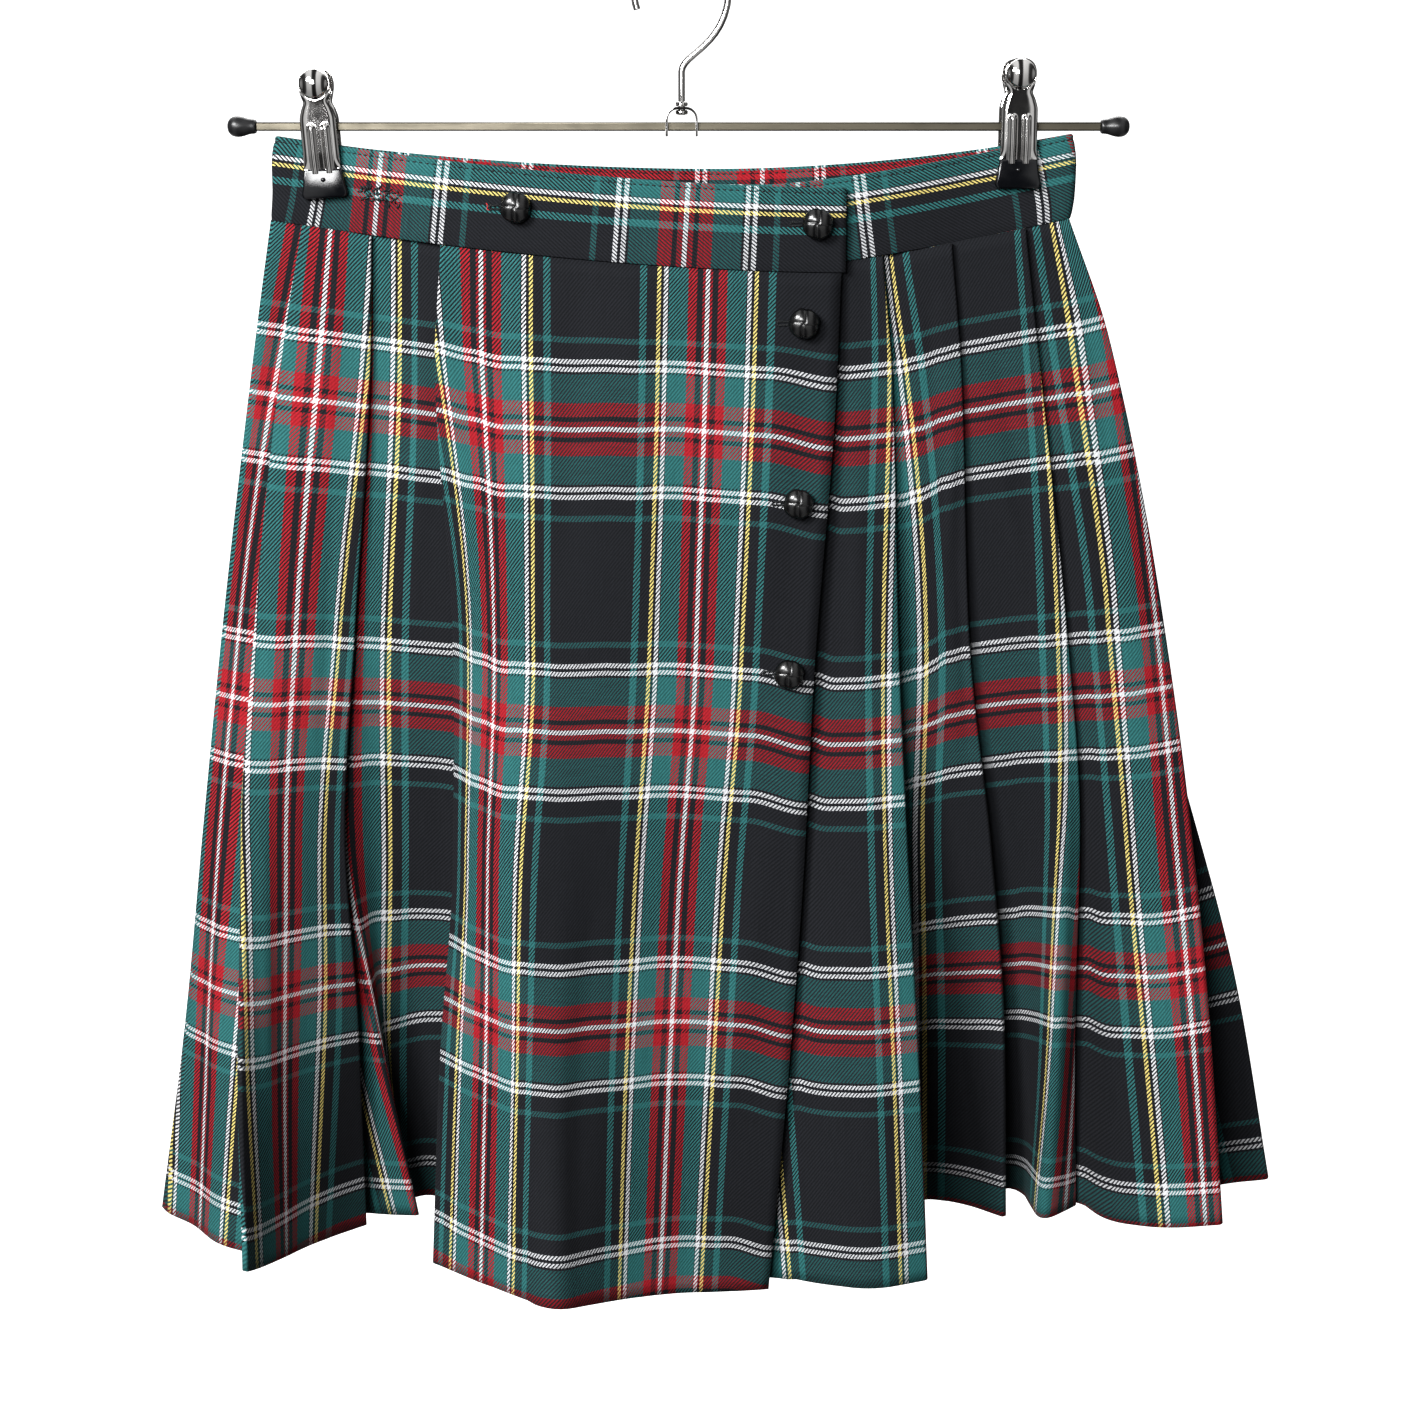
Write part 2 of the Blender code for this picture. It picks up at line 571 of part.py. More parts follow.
def add_hook():
    curve = bpy.data.curves.new("hook_wire", "CURVE")
    curve.dimensions = "3D"
    curve.bevel_depth = WIRE_RADIUS * MM
    curve.bevel_resolution = 2
    curve.use_fill_caps = True
    route = hook_route()
    spline = curve.splines.new("POLY")
    spline.points.add(len(route) - 1)
    for point, place in zip(spline.points, route):
        point.co = (*(place * MM), 1)
    wire = bpy.data.objects.new("hook_wire", curve)
    collection.objects.link(wire)
    bpy.context.view_layer.update()
    mesh = solid_from(wire)
    bpy.data.objects.remove(wire)
    made = add_object("hanger_hook", mesh, chrome)
    # The collar above the arch and the riveted head under it, joined to the wire
    collar_foot = BRACKET_TOP_Z + SEAM_GAP
    head_foot = BRACKET_TOP_Z - BRACKET_SHEET - SEAM_GAP - COLLAR_HEIGHT
    radius, height = COLLAR_RADIUS * MM, COLLAR_HEIGHT * MM
    for number, foot in enumerate((collar_foot, head_foot)):
        bm = bmesh.new()
        bmesh.ops.create_cone(bm, cap_ends=True, segments=16, radius1=radius, radius2=radius, depth=height)
        bmesh.ops.translate(bm, vec=(0, 0, foot * MM + height / 2), verts=bm.verts)
        ring = bpy.data.objects.new(f"hook_collar_{number}", mesh_of("hook_collar", bm))
        ring.hide_render = True
        ring.display_type = "WIRE"
        cutters.objects.link(ring)
        join = made.modifiers.new(f"join {number}", "BOOLEAN")
        join.object = ring
        join.operation = "UNION"


# The clips: two pressed plates that rock on a sleeve round the bar, with a vinyl pad on each jaw

PLATE_SHEET = 1.2
PAD_SHEET = 1.6
SLEEVE_HALF, SLEEVE_WALL = 4.5, 1.2
# How far each pad's face is from the middle, outside the two walls of the band
JAW_FACE = 3.15
# Height above the pad's foot, half width and distance of the plate's inner face from the middle
PLATE_ROWS = (
    (4.0, 9.4, JAW_FACE + PAD_SHEET + 0.3),
    (12.0, 9.2, JAW_FACE + PAD_SHEET + 0.3),
    (16.5, 8.2, JAW_FACE + 2.2),
    (21.0, 7.4, JAW_FACE + 2.9),
    (36.0, 7.1, JAW_FACE + 2.9),
    (41.0, 6.0, JAW_FACE + 3.4),
    (44.0, 6.2, JAW_FACE + 3.9),
    (47.0, 6.9, JAW_FACE + 4.3),
    (51.0, 7.1, JAW_FACE + 4.6),
    (55.0, 5.7, JAW_FACE + 4.3),
    (57.5, 3.0, JAW_FACE + 3.9),
)
PAD_FOOT_Z = -114.0
PAD_TOP = 13.0
PAD_HALF_TOP, PAD_HALF_FOOT = 7.8, 10.4


def plate_mesh(name, centre_x, foot_z, sign):
    """A plate pressed from sheet: rows of points across, given its thickness outwards."""
    bm = bmesh.new()
    shares = (-1.0, -0.72, 0.0, 0.72, 1.0)
    loops = []
    for layer in (0.0, PLATE_SHEET):
        grid = []
        for height, half, out in PLATE_ROWS:
            turn_in = 1.5 if 15 < height < 50 else 0.0
            grid.append(
                [
                    bm.verts.new(
                        Vector(
                            (
                                centre_x + share * half,
                                sign * (out + layer - turn_in * (abs(share) > 0.9)),
                                foot_z + height,
                            )
                        )
                        * MM
                    )
                    for share in shares
                ]
            )
        loops.append(grid)
    rows, columns = len(PLATE_ROWS), len(shares)
    for grid in loops:
        for r in range(rows - 1):
            for c in range(columns - 1):
                bm.faces.new((grid[r][c], grid[r][c + 1], grid[r + 1][c + 1], grid[r + 1][c]))
    for r in range(rows - 1):
        for c in (0, columns - 1):
            bm.faces.new((loops[0][r][c], loops[0][r + 1][c], loops[1][r + 1][c], loops[1][r][c]))
    for c in range(columns - 1):
        for r in (0, rows - 1):
            bm.faces.new((loops[0][r][c], loops[0][r][c + 1], loops[1][r][c + 1], loops[1][r][c]))
    return mesh_of(name, bm)


def pad_mesh(name, centre_x, foot_z, sign):
    near, far = sign * JAW_FACE, sign * (JAW_FACE + PAD_SHEET)
    outline = (
        (-PAD_HALF_TOP, PAD_TOP), (-PAD_HALF_FOOT, 2.6), (-PAD_HALF_FOOT + 2.4, 0.0),
        (PAD_HALF_FOOT - 2.4, 0.0), (PAD_HALF_FOOT, 2.6), (PAD_HALF_TOP, PAD_TOP),
    )
    bm = bmesh.new()
    face = bm.faces.new([bm.verts.new(Vector((centre_x + x, near, foot_z + z)) * MM) for x, z in outline])
    grown = bmesh.ops.extrude_face_region(bm, geom=[face])
    moved = [item for item in grown["geom"] if isinstance(item, bmesh.types.BMVert)]
    bmesh.ops.translate(bm, vec=(0, (far - near) * MM, 0), verts=moved)
    return mesh_of(name, bm)


def add_clip(side):
    centre_x = CLIP_X[side]
    foot_z = PAD_FOOT_Z + CLIP_DROP[side]
    bar_z = BAR_TOP_Z - BAR_SIDE / 2
    for face, sign in (("front", -1), ("back", 1)):
        name = f"clip_{side}_{face}_plate"
        add_object(name, plate_mesh(name, centre_x, foot_z, sign), chrome)
        name = f"clip_{side}_{face}_pad"
        add_object(name, pad_mesh(name, centre_x, foot_z, sign), black_vinyl)
    name = f"clip_{side}_sleeve"
    hole = BAR_SIDE / 2 + SEAM_GAP
    reach = JAW_FACE + 2.9 - SEAM_GAP
    bm = bmesh.new()
    loops = []
    for x in (centre_x - SLEEVE_HALF, centre_x + SLEEVE_HALF):
        for half_y, half_z in ((reach, hole + SLEEVE_WALL), (hole, hole)):
            corners = ((-half_y, -half_z), (half_y, -half_z), (half_y, half_z), (-half_y, half_z))
            loops.append([bm.verts.new(Vector((x, y, bar_z + z)) * MM) for y, z in corners])
    outer_left, inner_left, outer_right, inner_right = loops
    for one, other in (
        (outer_left, outer_right), (inner_left, inner_right), (outer_left, inner_left), (outer_right, inner_right),
    ):
        for i in range(4):
            bm.faces.new((one[i - 1], one[i], other[i], other[i - 1]))
    add_object(name, mesh_of(name, bm), chrome)


clear_scene()
collection = bpy.data.collections.new("pleated wrap skirt")
bpy.context.scene.collection.children.link(collection)
cutters = bpy.data.collections.new("cutters")
bpy.context.scene.collection.children.link(cutters)

tartan = material("tartan cloth", (0.05, 0.13, 0.12), 0.85)
tartan_across = material("tartan cloth across", (0.07, 0.16, 0.15), 0.85)
black_leather = material("black leather", (0.01, 0.01, 0.01), 0.25)
grey_steel = material("grey steel", (0.42, 0.4, 0.36), 0.35, 1.0)
chrome = material("chrome", (0.85, 0.85, 0.86), 0.12, 1.0)
black_rubber = material("black rubber", (0.015, 0.015, 0.016), 0.45)
black_vinyl = material("black vinyl", (0.01, 0.011, 0.016), 0.15)

add_skirt()
add_waistband()
add_buttons()
add_bar()
add_bracket()
add_hook()
for clip_side in ("left", "right"):
    add_clip(clip_side)
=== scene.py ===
"""Looks of a kilt-style pleated tartan wrap skirt, clipped by its waistband to a bar hanger.

Sizes are in millimetres and are scaled to metres as each mesh is made. +X is the viewer's right,
-Y the front, +Z up, and the origin is the inside top of the hanger's hook.
"""

import math

import bmesh
import bpy
from mathutils import Matrix, Vector, noise
from mathutils.bvhtree import BVHTree
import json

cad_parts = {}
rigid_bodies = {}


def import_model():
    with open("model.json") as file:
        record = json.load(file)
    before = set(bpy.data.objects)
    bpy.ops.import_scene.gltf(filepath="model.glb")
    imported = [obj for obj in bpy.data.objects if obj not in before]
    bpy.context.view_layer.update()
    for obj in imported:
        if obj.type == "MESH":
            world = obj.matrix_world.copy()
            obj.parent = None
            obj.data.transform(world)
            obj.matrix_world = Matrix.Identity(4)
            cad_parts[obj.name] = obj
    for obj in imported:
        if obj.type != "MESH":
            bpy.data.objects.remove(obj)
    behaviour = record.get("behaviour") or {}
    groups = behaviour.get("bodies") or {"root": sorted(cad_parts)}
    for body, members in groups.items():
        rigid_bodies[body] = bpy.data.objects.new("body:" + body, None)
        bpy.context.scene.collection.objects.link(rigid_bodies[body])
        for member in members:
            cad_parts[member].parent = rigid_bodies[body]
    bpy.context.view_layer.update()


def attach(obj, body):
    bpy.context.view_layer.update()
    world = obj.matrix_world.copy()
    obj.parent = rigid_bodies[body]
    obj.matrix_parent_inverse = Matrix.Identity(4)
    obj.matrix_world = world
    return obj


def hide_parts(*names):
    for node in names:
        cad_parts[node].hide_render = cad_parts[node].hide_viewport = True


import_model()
MM = 0.001


# The tartan: a worsted 2/2 twill. Warp and weft are both black, green and red bands of yarn with
# fine white and yellow lines. Each sett runs from its middle, a white line, to the middle of its
# wide black band, and mirrors there.

YARN = {
    "black": (0.0175, 0.0185, 0.0225),
    "green": (0.038, 0.165, 0.165),
    "red": (0.365, 0.018, 0.028),
    "white": (0.66, 0.67, 0.69),
    "yellow": (0.72, 0.60, 0.21),
}
# Yarn and the width of its band in mm, outwards from the middle
WARP_SETT = (
    ("white", 0.95), ("red", 1.3), ("black", 2.6), ("red", 4.2), ("green", 9.2), ("black", 0.5),
    ("white", 2.1), ("black", 1.2), ("yellow", 1.9), ("black", 4.8), ("green", 3.3), ("black", 21.4),
)
WEFT_SETT = (
    ("white", 1.1), ("red", 2.4), ("black", 2.4), ("red", 6.6), ("green", 13.6), ("black", 1.0),
    ("white", 2.3), ("black", 1.5), ("white", 2.3), ("black", 7.8), ("green", 2.8), ("black", 29.2),
)
# How far apart the twill's lines are, along the weft and along the warp, and the yarns they cross
TWILL_ACROSS, TWILL_DOWN = 1.72, 2.2
TWILL_YARNS = 4
# How sharply the warp's floats end, how much of the face they cover, and how high they stand
FLOAT_EDGE, FLOAT_COVER, FLOAT_HEIGHT = 2.4, 0.45, 0.18
# Each yarn's shade wanders between a least share and the full one, in spots drawn out along it
LEAST_SHADE, SHADE_SPAN = 0.65, 0.7
WARP_SPOTS, WEFT_SPOTS = (2.2, 0.06), (0.06, 1.8)
# The cloth's least roughness, and how much a lighter spot of yarn adds to it
CLOTH_ROUGHNESS, YARN_ROUGHNESS = 0.68, 0.12
# A thin bloom of loose fibres
BLOOM, BLOOM_SHARE = (0.16, 0.17, 0.17), 0.02


def feed(tree, target, inputs):
    """Link or set a node's inputs, by name or number."""
    for key, value in inputs.items():
        socket = target.inputs[key]
        if isinstance(value, bpy.types.NodeSocket):
            tree.links.new(value, socket)
        else:
            socket.default_value = (*value, 1.0) if socket.type == "RGBA" else value


def node(tree, kind, inputs=None, **settings):
    made = tree.nodes.new(kind)
    for name, value in settings.items():
        setattr(made, name, value)
    feed(tree, made, inputs or {})
    return made


def calculate(tree, operation, *values, clamp=False):
    inputs = dict(enumerate(values))
    return node(tree, "ShaderNodeMath", inputs, operation=operation, use_clamp=clamp).outputs[0]


def mix_colours(tree, share, first, second, blend="MIX"):
    # The node has sockets for each kind of value: its colours are numbers 6 and 7, and come out of 2
    inputs = {0: share, 6: first, 7: second}
    return node(tree, "ShaderNodeMix", inputs, data_type="RGBA", blend_type=blend).outputs[2]


def node_group(name, inputs, outputs):
    """A group's empty tree and its given inputs, from each socket's name and kind."""
    tree = bpy.data.node_groups.new(name, "ShaderNodeTree")
    for side, sockets in (("INPUT", inputs), ("OUTPUT", outputs)):
        for socket, kind in sockets.items():
            tree.interface.new_socket(socket, in_out=side, socket_type=f"NodeSocket{kind}")
    return tree, node(tree, "NodeGroupInput").outputs


def new_material(name):
    """A material, its node tree and its shader."""
    made = bpy.data.materials.new(name)
    made.use_nodes = True
    return made, made.node_tree, made.node_tree.nodes["Principled BSDF"]


def finish_surface(tree, shader, effect, height, strength, depth):
    """Give a shader an effect's colour and roughness, and a bump by its height, depth in mm deep."""
    bump = node(tree, "ShaderNodeBump", {"Strength": strength, "Distance": depth * MM, "Height": height})
    feed(tree, shader, {**effect, "Normal": bump.outputs[0]})


def sett_ramp(tree, sett, along):
    """The colour of one yarn system: the distance from a sett's middle, read on a stepped ramp."""
    half = sum(width for _, width in sett)
    ramp = node(tree, "ShaderNodeValToRGB")
    ramp.color_ramp.interpolation = "CONSTANT"
    stops = ramp.color_ramp.elements
    stops.remove(stops[1])
    start = 0.0
    for number, (yarn, width) in enumerate(sett):
        stop = stops.new(start / half) if number else stops[0]
        stop.color = (*YARN[yarn], 1.0)
        start += width
    distance = calculate(tree, "PINGPONG", along, half)
    feed(tree, ramp, {0: calculate(tree, "DIVIDE", distance, half)})
    return ramp.outputs[0]


def woven_tartan():
    """A node group: places on the cloth in mm in, the weave's colour, height and roughness out."""
    tree, given = node_group(
        "woven tartan",
        {"Across": "Float", "Down": "Float", "Fuzz": "Float"},
        {"Color": "Color", "Height": "Float", "Roughness": "Float"},
    )
    across, down = given["Across"], given["Down"]
    # The twill's lines: where the wave is high the warp lies on top. They step from yarn to yarn.
    yarns = calculate(tree, "SNAP", across, TWILL_ACROSS / TWILL_YARNS)
    along = calculate(tree, "DIVIDE", yarns, TWILL_ACROSS)
    phase = calculate(tree, "ADD", along, calculate(tree, "DIVIDE", down, TWILL_DOWN))
    wave = calculate(tree, "SINE", calculate(tree, "MULTIPLY", phase, math.tau))
    on_top = calculate(tree, "MULTIPLY_ADD", wave, FLOAT_EDGE, FLOAT_COVER, clamp=True)
    colours, shades = [], []
    for sett, place, (wide, long) in ((WARP_SETT, across, WARP_SPOTS), (WEFT_SETT, down, WEFT_SPOTS)):
        spots = {0: calculate(tree, "MULTIPLY", across, wide), 1: calculate(tree, "MULTIPLY", down, long)}
        where = node(tree, "ShaderNodeCombineXYZ", spots).outputs[0]
        inputs = {"Scale": 1.0, "Detail": 3.0, "Vector": where}
        grain = node(tree, "ShaderNodeTexNoise", inputs, noise_dimensions="2D")
        shade = calculate(tree, "MULTIPLY_ADD", grain.outputs[0], SHADE_SPAN, LEAST_SHADE)
        colours.append(mix_colours(tree, 1.0, sett_ramp(tree, sett, place), shade, "MULTIPLY"))
        shades.append(shade)
    warp, weft = colours
    # Painted shade: the weft lies lower, between the twill's ridges, so its colour is darkened as if shaded
    # there, the thick pale yarns less so
    red = node(tree, "ShaderNodeSeparateColor", {0: weft}).outputs[0]
    painted_light_and_shade = calculate(tree, "MULTIPLY_ADD", red, 0.5, 0.5, clamp=True)
    weft = mix_colours(tree, 1.0, weft, painted_light_and_shade, "MULTIPLY")
    colour = mix_colours(tree, on_top, weft, warp)
    node(tree, "NodeGroupOutput", {
        "Color": mix_colours(tree, given["Fuzz"], colour, BLOOM),
        "Height": calculate(tree, "MULTIPLY_ADD", wave, 0.5, 0.5),
        "Roughness": calculate(tree, "MULTIPLY_ADD", shades[0], YARN_ROUGHNESS, CLOTH_ROUGHNESS),
    })
    return tree


tartan_weave = woven_tartan()


def tartan_cloth(name, crosswise=False):
    """The tartan read from a piece's own UV map, which holds its place on the cloth in metres."""
    made, tree, shader = new_material(name)
    place = node(tree, "ShaderNodeUVMap", uv_map="cloth")
    split = node(tree, "ShaderNodeSeparateXYZ", {0: place.outputs[0]}).outputs
    across, down, down_scale = (split[1], split[0], -1 / MM) if crosswise else (split[0], split[1], 1 / MM)
    inputs = {
        "Across": calculate(tree, "MULTIPLY", across, 1 / MM),
        "Down": calculate(tree, "MULTIPLY", down, down_scale),
        "Fuzz": BLOOM_SHARE,
    }
    weave = node(tree, "ShaderNodeGroup", node_tree=tartan_weave)
    feed(tree, weave, inputs)
    effect = {"Base Color": weave.outputs["Color"], "Roughness": weave.outputs["Roughness"]}
    finish_surface(tree, shader, effect, weave.outputs["Height"], strength=0.5, depth=FLOAT_HEIGHT)
    feed(tree, shader, {"Sheen Weight": 0.03, "Sheen Roughness": 0.45, "Specular IOR Level": 0.08})
    return made


skirt_cloth = tartan_cloth("worsted tartan")
band_cloth = tartan_cloth("worsted tartan across", crosswise=True)


# The skirt: one strip of cloth laid in pleats, from the free edge of the under apron round the
# right side and the back to the button edge of the over apron. It hangs from the waist seam, and
# every column of it keeps the cloth's length down to the hem, which is the cloth's own edge.

SKIRT_LENGTH = 506.0
CLOTH_THICK = 0.8
SEAM_GAP = 0.3
FOLD_GAP = 2.1
LEVELS = (0.0, 60.0, 190.0, 300.0, 400.0, SKIRT_LENGTH)
CLOTH_LEVELS = (0.0, 190.0, 300.0, SKIRT_LENGTH)
RING_STEP = 6.4
COLUMN_STEP = 4.5
FOLD, SOFT, END, SEAM = "fold", "soft", "end", "seam"

# Each row is one line of the cloth: its kind, x and y at each of LEVELS, and where it is across
# the cloth: the sett, counted from the over apron's middle one, and how far from that sett's
# middle the row lies at each of CLOTH_LEVELS. A row without places is spaced out by its length.
UNDER_APRON = (
    ("free edge", END, (-78, -78, -78, -77, -76, -74), (-9.5, -10, -11, -13, -17, -20), None),
    ("under left", SOFT, (-42, -42, -42, -41, -40, -38), (-12, -13, -16, -19, -26, -34), None),
    ("under middle", SOFT, (8, 8, 8, 8, 7, 6), (-12.5, -13, -13, -15, -22, -31), None),
    ("under right", SOFT, (62, 60, 54, 50, 46, 42), (-11.5, -12, -14.5, -18, -24, -29), None),
    ("front left", SOFT, (80, 79, 75, 70, 68, 68),
     (-10.5, -11, -15, -23, -33, -45), (-17, -40, -44.5, -51, -66)),
    ("front middle", SOFT, (87, 90, 92, 93, 95, 96),
     (-9.5, -10.5, -15.5, -27, -41, -56), (-17, -33, -27, -29, -34)),
    ("front edge", FOLD, (94.5, 100, 105, 111, 117, 122),
     (-9.4, -9.6, -13, -23, -35, -46), (-17, -22.5, -13.2, -8.5, -7.2)),
    ("under front edge", FOLD, (80, 85, 88, 94, 99, 104), (-7.3, -7.4, -8, -9, -9, -8), None),
    ("side seam", SEAM, (87, 92, 97, 102, 105, 107), (-6.2, -6, -5, 0, 7, 15), None),
)

RIGHT_PLEATS = (
    ("second left", SOFT, (100, 104, 107, 110, 112, 112),
     (-6.4, -6, -3, 8, 20, 33), (-17, 26.2, 12.8, 16, 11.6)),
    ("second deep", SOFT, (109, 113, 116, 121, 125, 128),
     (-7.2, -6.8, -3.5, 7, 25, 44), (-17, 35.6, 21.4, 25, 24.3)),
    ("second right", SOFT, (119, 124, 129, 138, 146, 150),
     (-7.9, -7.4, -5, 4, 17, 33), (-17, 45.5, 34.2, 41.8, 44)),
    ("second edge", FOLD, (127, 133, 140, 154, 164, 168),
     (-7.0, -6.6, -4.2, 0, 9, 16), (-17, 53.5, 46, 57, 62.4)),
    ("under second edge", FOLD, (115, 120, 126, 142, 155, 162), (-4.6, -4.0, -0.6, 8.5, 21, 38), None),
    ("third left", SOFT, (130, 136, 146, 160, 168, 173),
     (-4.2, -3.7, 1, 8, 24, 46), (-15, -57.7, -58.2, -53, -62)),
    ("third middle", SOFT, (146, 153, 166, 176, 179, 180),
     (-4.8, -4.4, -2, 4, 14, 34), (-15, -41.8, -39, -38, -46)),
    ("third ridge", SOFT, (154, 162, 178, 190, 190, 185),
     (-5.1, -5.2, -6, -6, -5, -2), (-15, -33.8, -26.5, -17.5, -10.5)),
    ("third edge", FOLD, (162, 170, 187, 198, 200, 205),
     (-4.4, -4.7, -6, -1, 7, 15), (-15, -24.5, -17, -8, 9)),
    ("under third edge", FOLD, (150, 158, 175, 188, 193, 197), (-2.3, -2.4, -1, 5, 14, 25), None),
    ("fourth valley", SOFT, (163, 171, 190, 201, 205, 208),
     (-1.4, -1.6, -3, 3, 11, 16), (-14, -33.3, -39.4, -41.3, -59)),
    ("fourth left", SOFT, (170, 181, 204, 212, 216, 219),
     (-1.5, -2.8, -7, -8, -8, -12), (-14, -26.7, -24.3, -29, -44)),
    ("fourth middle", SOFT, (177, 193, 219, 233, 241, 246),
     (-1.4, -2.8, -8, -13, -21, -31), (-14, -19.3, -11.5, -8.5, -17.5)),
    ("fourth edge", FOLD, (183, 204, 233, 250, 261, 270),
     (-0.2, -0.4, -3, -13, -26, -38), (-14, -9.3, 5.5, 9, 9.5)),
    ("under fourth edge", SOFT, (179, 199, 228, 246, 260, 266), (1.5, 2.2, 2.5, -2, -5, -8), None),
    ("fifth fold", SOFT, (174, 193, 226, 244, 257, 266), (2.0, 3.2, 4.5, 3, 5, 11), (-14, 62, 48, 38, 20)),
    ("fifth middle", SOFT, (169, 187, 223, 248, 270, 286),
     (2.1, 3.6, 5.5, 5, 8, 12), (-14, 68, 58, 50, 33)),
    ("right side", FOLD, (163, 181, 219, 254, 282, 303), (2.3, 4, 6.5, 7, 7.5, 7), (-14, 74, 63, 58, 46)),
)
# These of its rows hang from the back's waist seam
BEHIND_SIDE = ("under fourth edge", "fifth fold", "fifth middle", "right side")

LEFT_PLEATS = (
    ("left side", FOLD, (-194, -204, -224, -239, -252, -269),
     (0, 0, 0, 0, 0, -1), (-5, -15.5, -11, -12, -27)),
    ("side left", SOFT, (-193, -203, -222, -236, -249, -264),
     (-1.4, -1.8, -3, -5, -7, -9), (-5, -14.6, -8.8, -8, -23)),
    ("side middle", SOFT, (-185, -195, -214, -228, -239, -249),
     (-1.5, -2, -5, -10, -16, -19), (-5, -6.6, 3.2, 1.5, -5)),
    ("side right", SOFT, (-175, -186, -205, -219, -228, -233),
     (-1.5, -2, -6, -15, -28, -43), (-5, 3.3, 12, 10.5, 19.8)),
    ("under first edge", FOLD, (-166, -177, -195, -207, -212, -209),
     (-2.5, -3.2, -8, -18, -36, -56), (-5, 12, 22, 24, 44)),
    ("first edge", FOLD, (-179, -190, -207, -215, -215, -211),
     (-4.6, -5.6, -13, -30, -57, -88), (-4, -12.7, -20.3, -23, -30)),
    ("first left", SOFT, (-172, -181, -196, -204, -205, -203),
     (-5.6, -7.5, -15, -27, -44, -62), (-4, -6.1, -8, -10.5, -12)),
    ("first middle", SOFT, (-163, -169, -184, -190, -190, -190),
     (-5.6, -7.5, -13, -20, -26, -32), (-4, 3.3, 3.8, 6.5, 19)),
    ("first right", SOFT, (-154, -158, -171, -178, -175, -176),
     (-5.6, -7, -10, -13, -13, -12), (-4, 13, 17.5, 22.9, 38)),
    ("first fold", FOLD, (-147, -149, -160, -168, -165, -165),
     (-4.8, -6, -8, -9, -4, 2), (-4, 20, 33, 36, 51)),
    ("under first fold", FOLD, (-160, -163, -176, -184, -182, -180), (-2.7, -3.4, -4, -2, 4, 11), None),
    ("strip left", SOFT, (-153, -155, -168, -178, -172, -165),
     (-1.8, -2, -1.5, 2, 7, 12), (-3, 2, -4, -10, -36.5)),
    ("strip edge", FOLD, (-146, -148, -159, -167, -156, -139),
     (-2.2, -2.6, -3, -3, 3, 9), (-3, 10, 5.5, 1.5, -6)),
    ("inner left", SOFT, (-139, -140, -147, -154, -156, -151),
     (-3.4, -3.2, -1, 6, 18, 30), (-3, 17.4, 20.3, 17, 30)),
    ("inner middle", SOFT, (-128, -128, -134, -137, -139, -137),
     (-5.4, -5, -2, 8, 25, 42), (-3, 29, 32.4, 33.5, 41)),
    ("inner right", SOFT, (-112, -114, -112, -113, -114, -114),
     (-7.6, -7, -5, 3, 18, 32), (-3, 45, 53.5, 55, 60)),
    ("under apron edge", FOLD, (-86, -89, -86, -88, -94, -98), (-10.0, -10, -9, -6, 0, 6), None),
    ("apron seam", SEAM, (-97, -100, -97, -99, -106, -110), (-10.6, -11, -12, -11, -10, -10), None),
)

OVER_APRON = (
    ("apron edge", FOLD, (-113, -117, -111, -113, -121, -126),
     (-12.2, -12.8, -15, -18, -26, -35), (-1, -18, -41, -40, -37)),
    ("apron first", SOFT, (-99, -102, -99, -101, -104, -108),
     (-14.2, -15.6, -19, -28, -38, -49), (-1, -4.5, -12.7, -10.2, -10)),
    ("apron second", SOFT, (-84, -86, -87, -86, -84, -84),
     (-15, -17, -23, -41, -55, -68), (-1, 10, 6.2, 14.4, 21.4)),
    ("apron ridge", SOFT, (-58, -60, -64, -64, -64, -62),
     (-16.5, -19, -26, -44, -62, -90), (-1, 35.7, 31.8, 39.2, 48)),
    ("apron fall", SOFT, (-30, -30, -32, -34, -36, -37),
     (-17.5, -20, -24, -34, -48, -65), (0, -42.8, -39.2, -34.3, -28.6)),
    ("apron middle", SOFT, (2, 1, -2, -3, -4, -5),
     (-17.5, -19, -21, -25, -35, -48), (0, -10.6, -8.7, -1.1, 8.4)),
    ("apron right", SOFT, (42, 40, 34, 30, 26, 21),
     (-16.5, -18, -20, -25, -33, -42), (0, 29.8, 28.9, 33.3, 36.3)),
    ("button edge", END, (75, 73, 64, 59, 52, 43),
     (-15, -17, -21, -26, -33, -39), (0, 59.6, 59.6, 59.6, 59.6)),
)

# The back's pleats: how far the back stands out, how far apart the layers lie and how wide each
# hidden fold is, at each of LEVELS
BACK_PLEATS = 8
BACK_BULGE = (7.0, 13.0, 29.0, 42.0, 54.0, 64.0)
BACK_LAYER = (2.1, 2.3, 3.0, 4.0, 5.0, 6.5)
BACK_UNDERLAY = (13.0, 14.0, 16.0, 18.0, 20.0, 22.0)
BACK_ROUNDNESS = 3.4
BACK_START_Y = 1.4
BACK_SEAM_SHARE = 0.035
# In pleats: where the first one's middle lies, and how many the back is wide
BACK_FIRST, BACK_WIDTH = 0.95, BACK_PLEATS + 0.8
# Where a back row lies: how many layers out, and how far right of its pleat's middle, counted in
# hidden folds and then in mm
PANEL_LIES, EDGE_LIES, INNER_LIES, UNDER_LIES = (1.9, 0.5, 4), (1.5, -0.5, 0), (0.5, 0.5, 0), (0, -0.5, -2.5)
CENTRE_LIES, SIDE_LIES = (0.5, -0.5, -9), (0, 0, 0)
# Each back pleat takes up one sett: the last pleat's sett, and its edge's place in that sett
BACK_LAST_SETT, BACK_EDGE_PLACE = -6, 12.0
SETT_REPEAT = 107.0

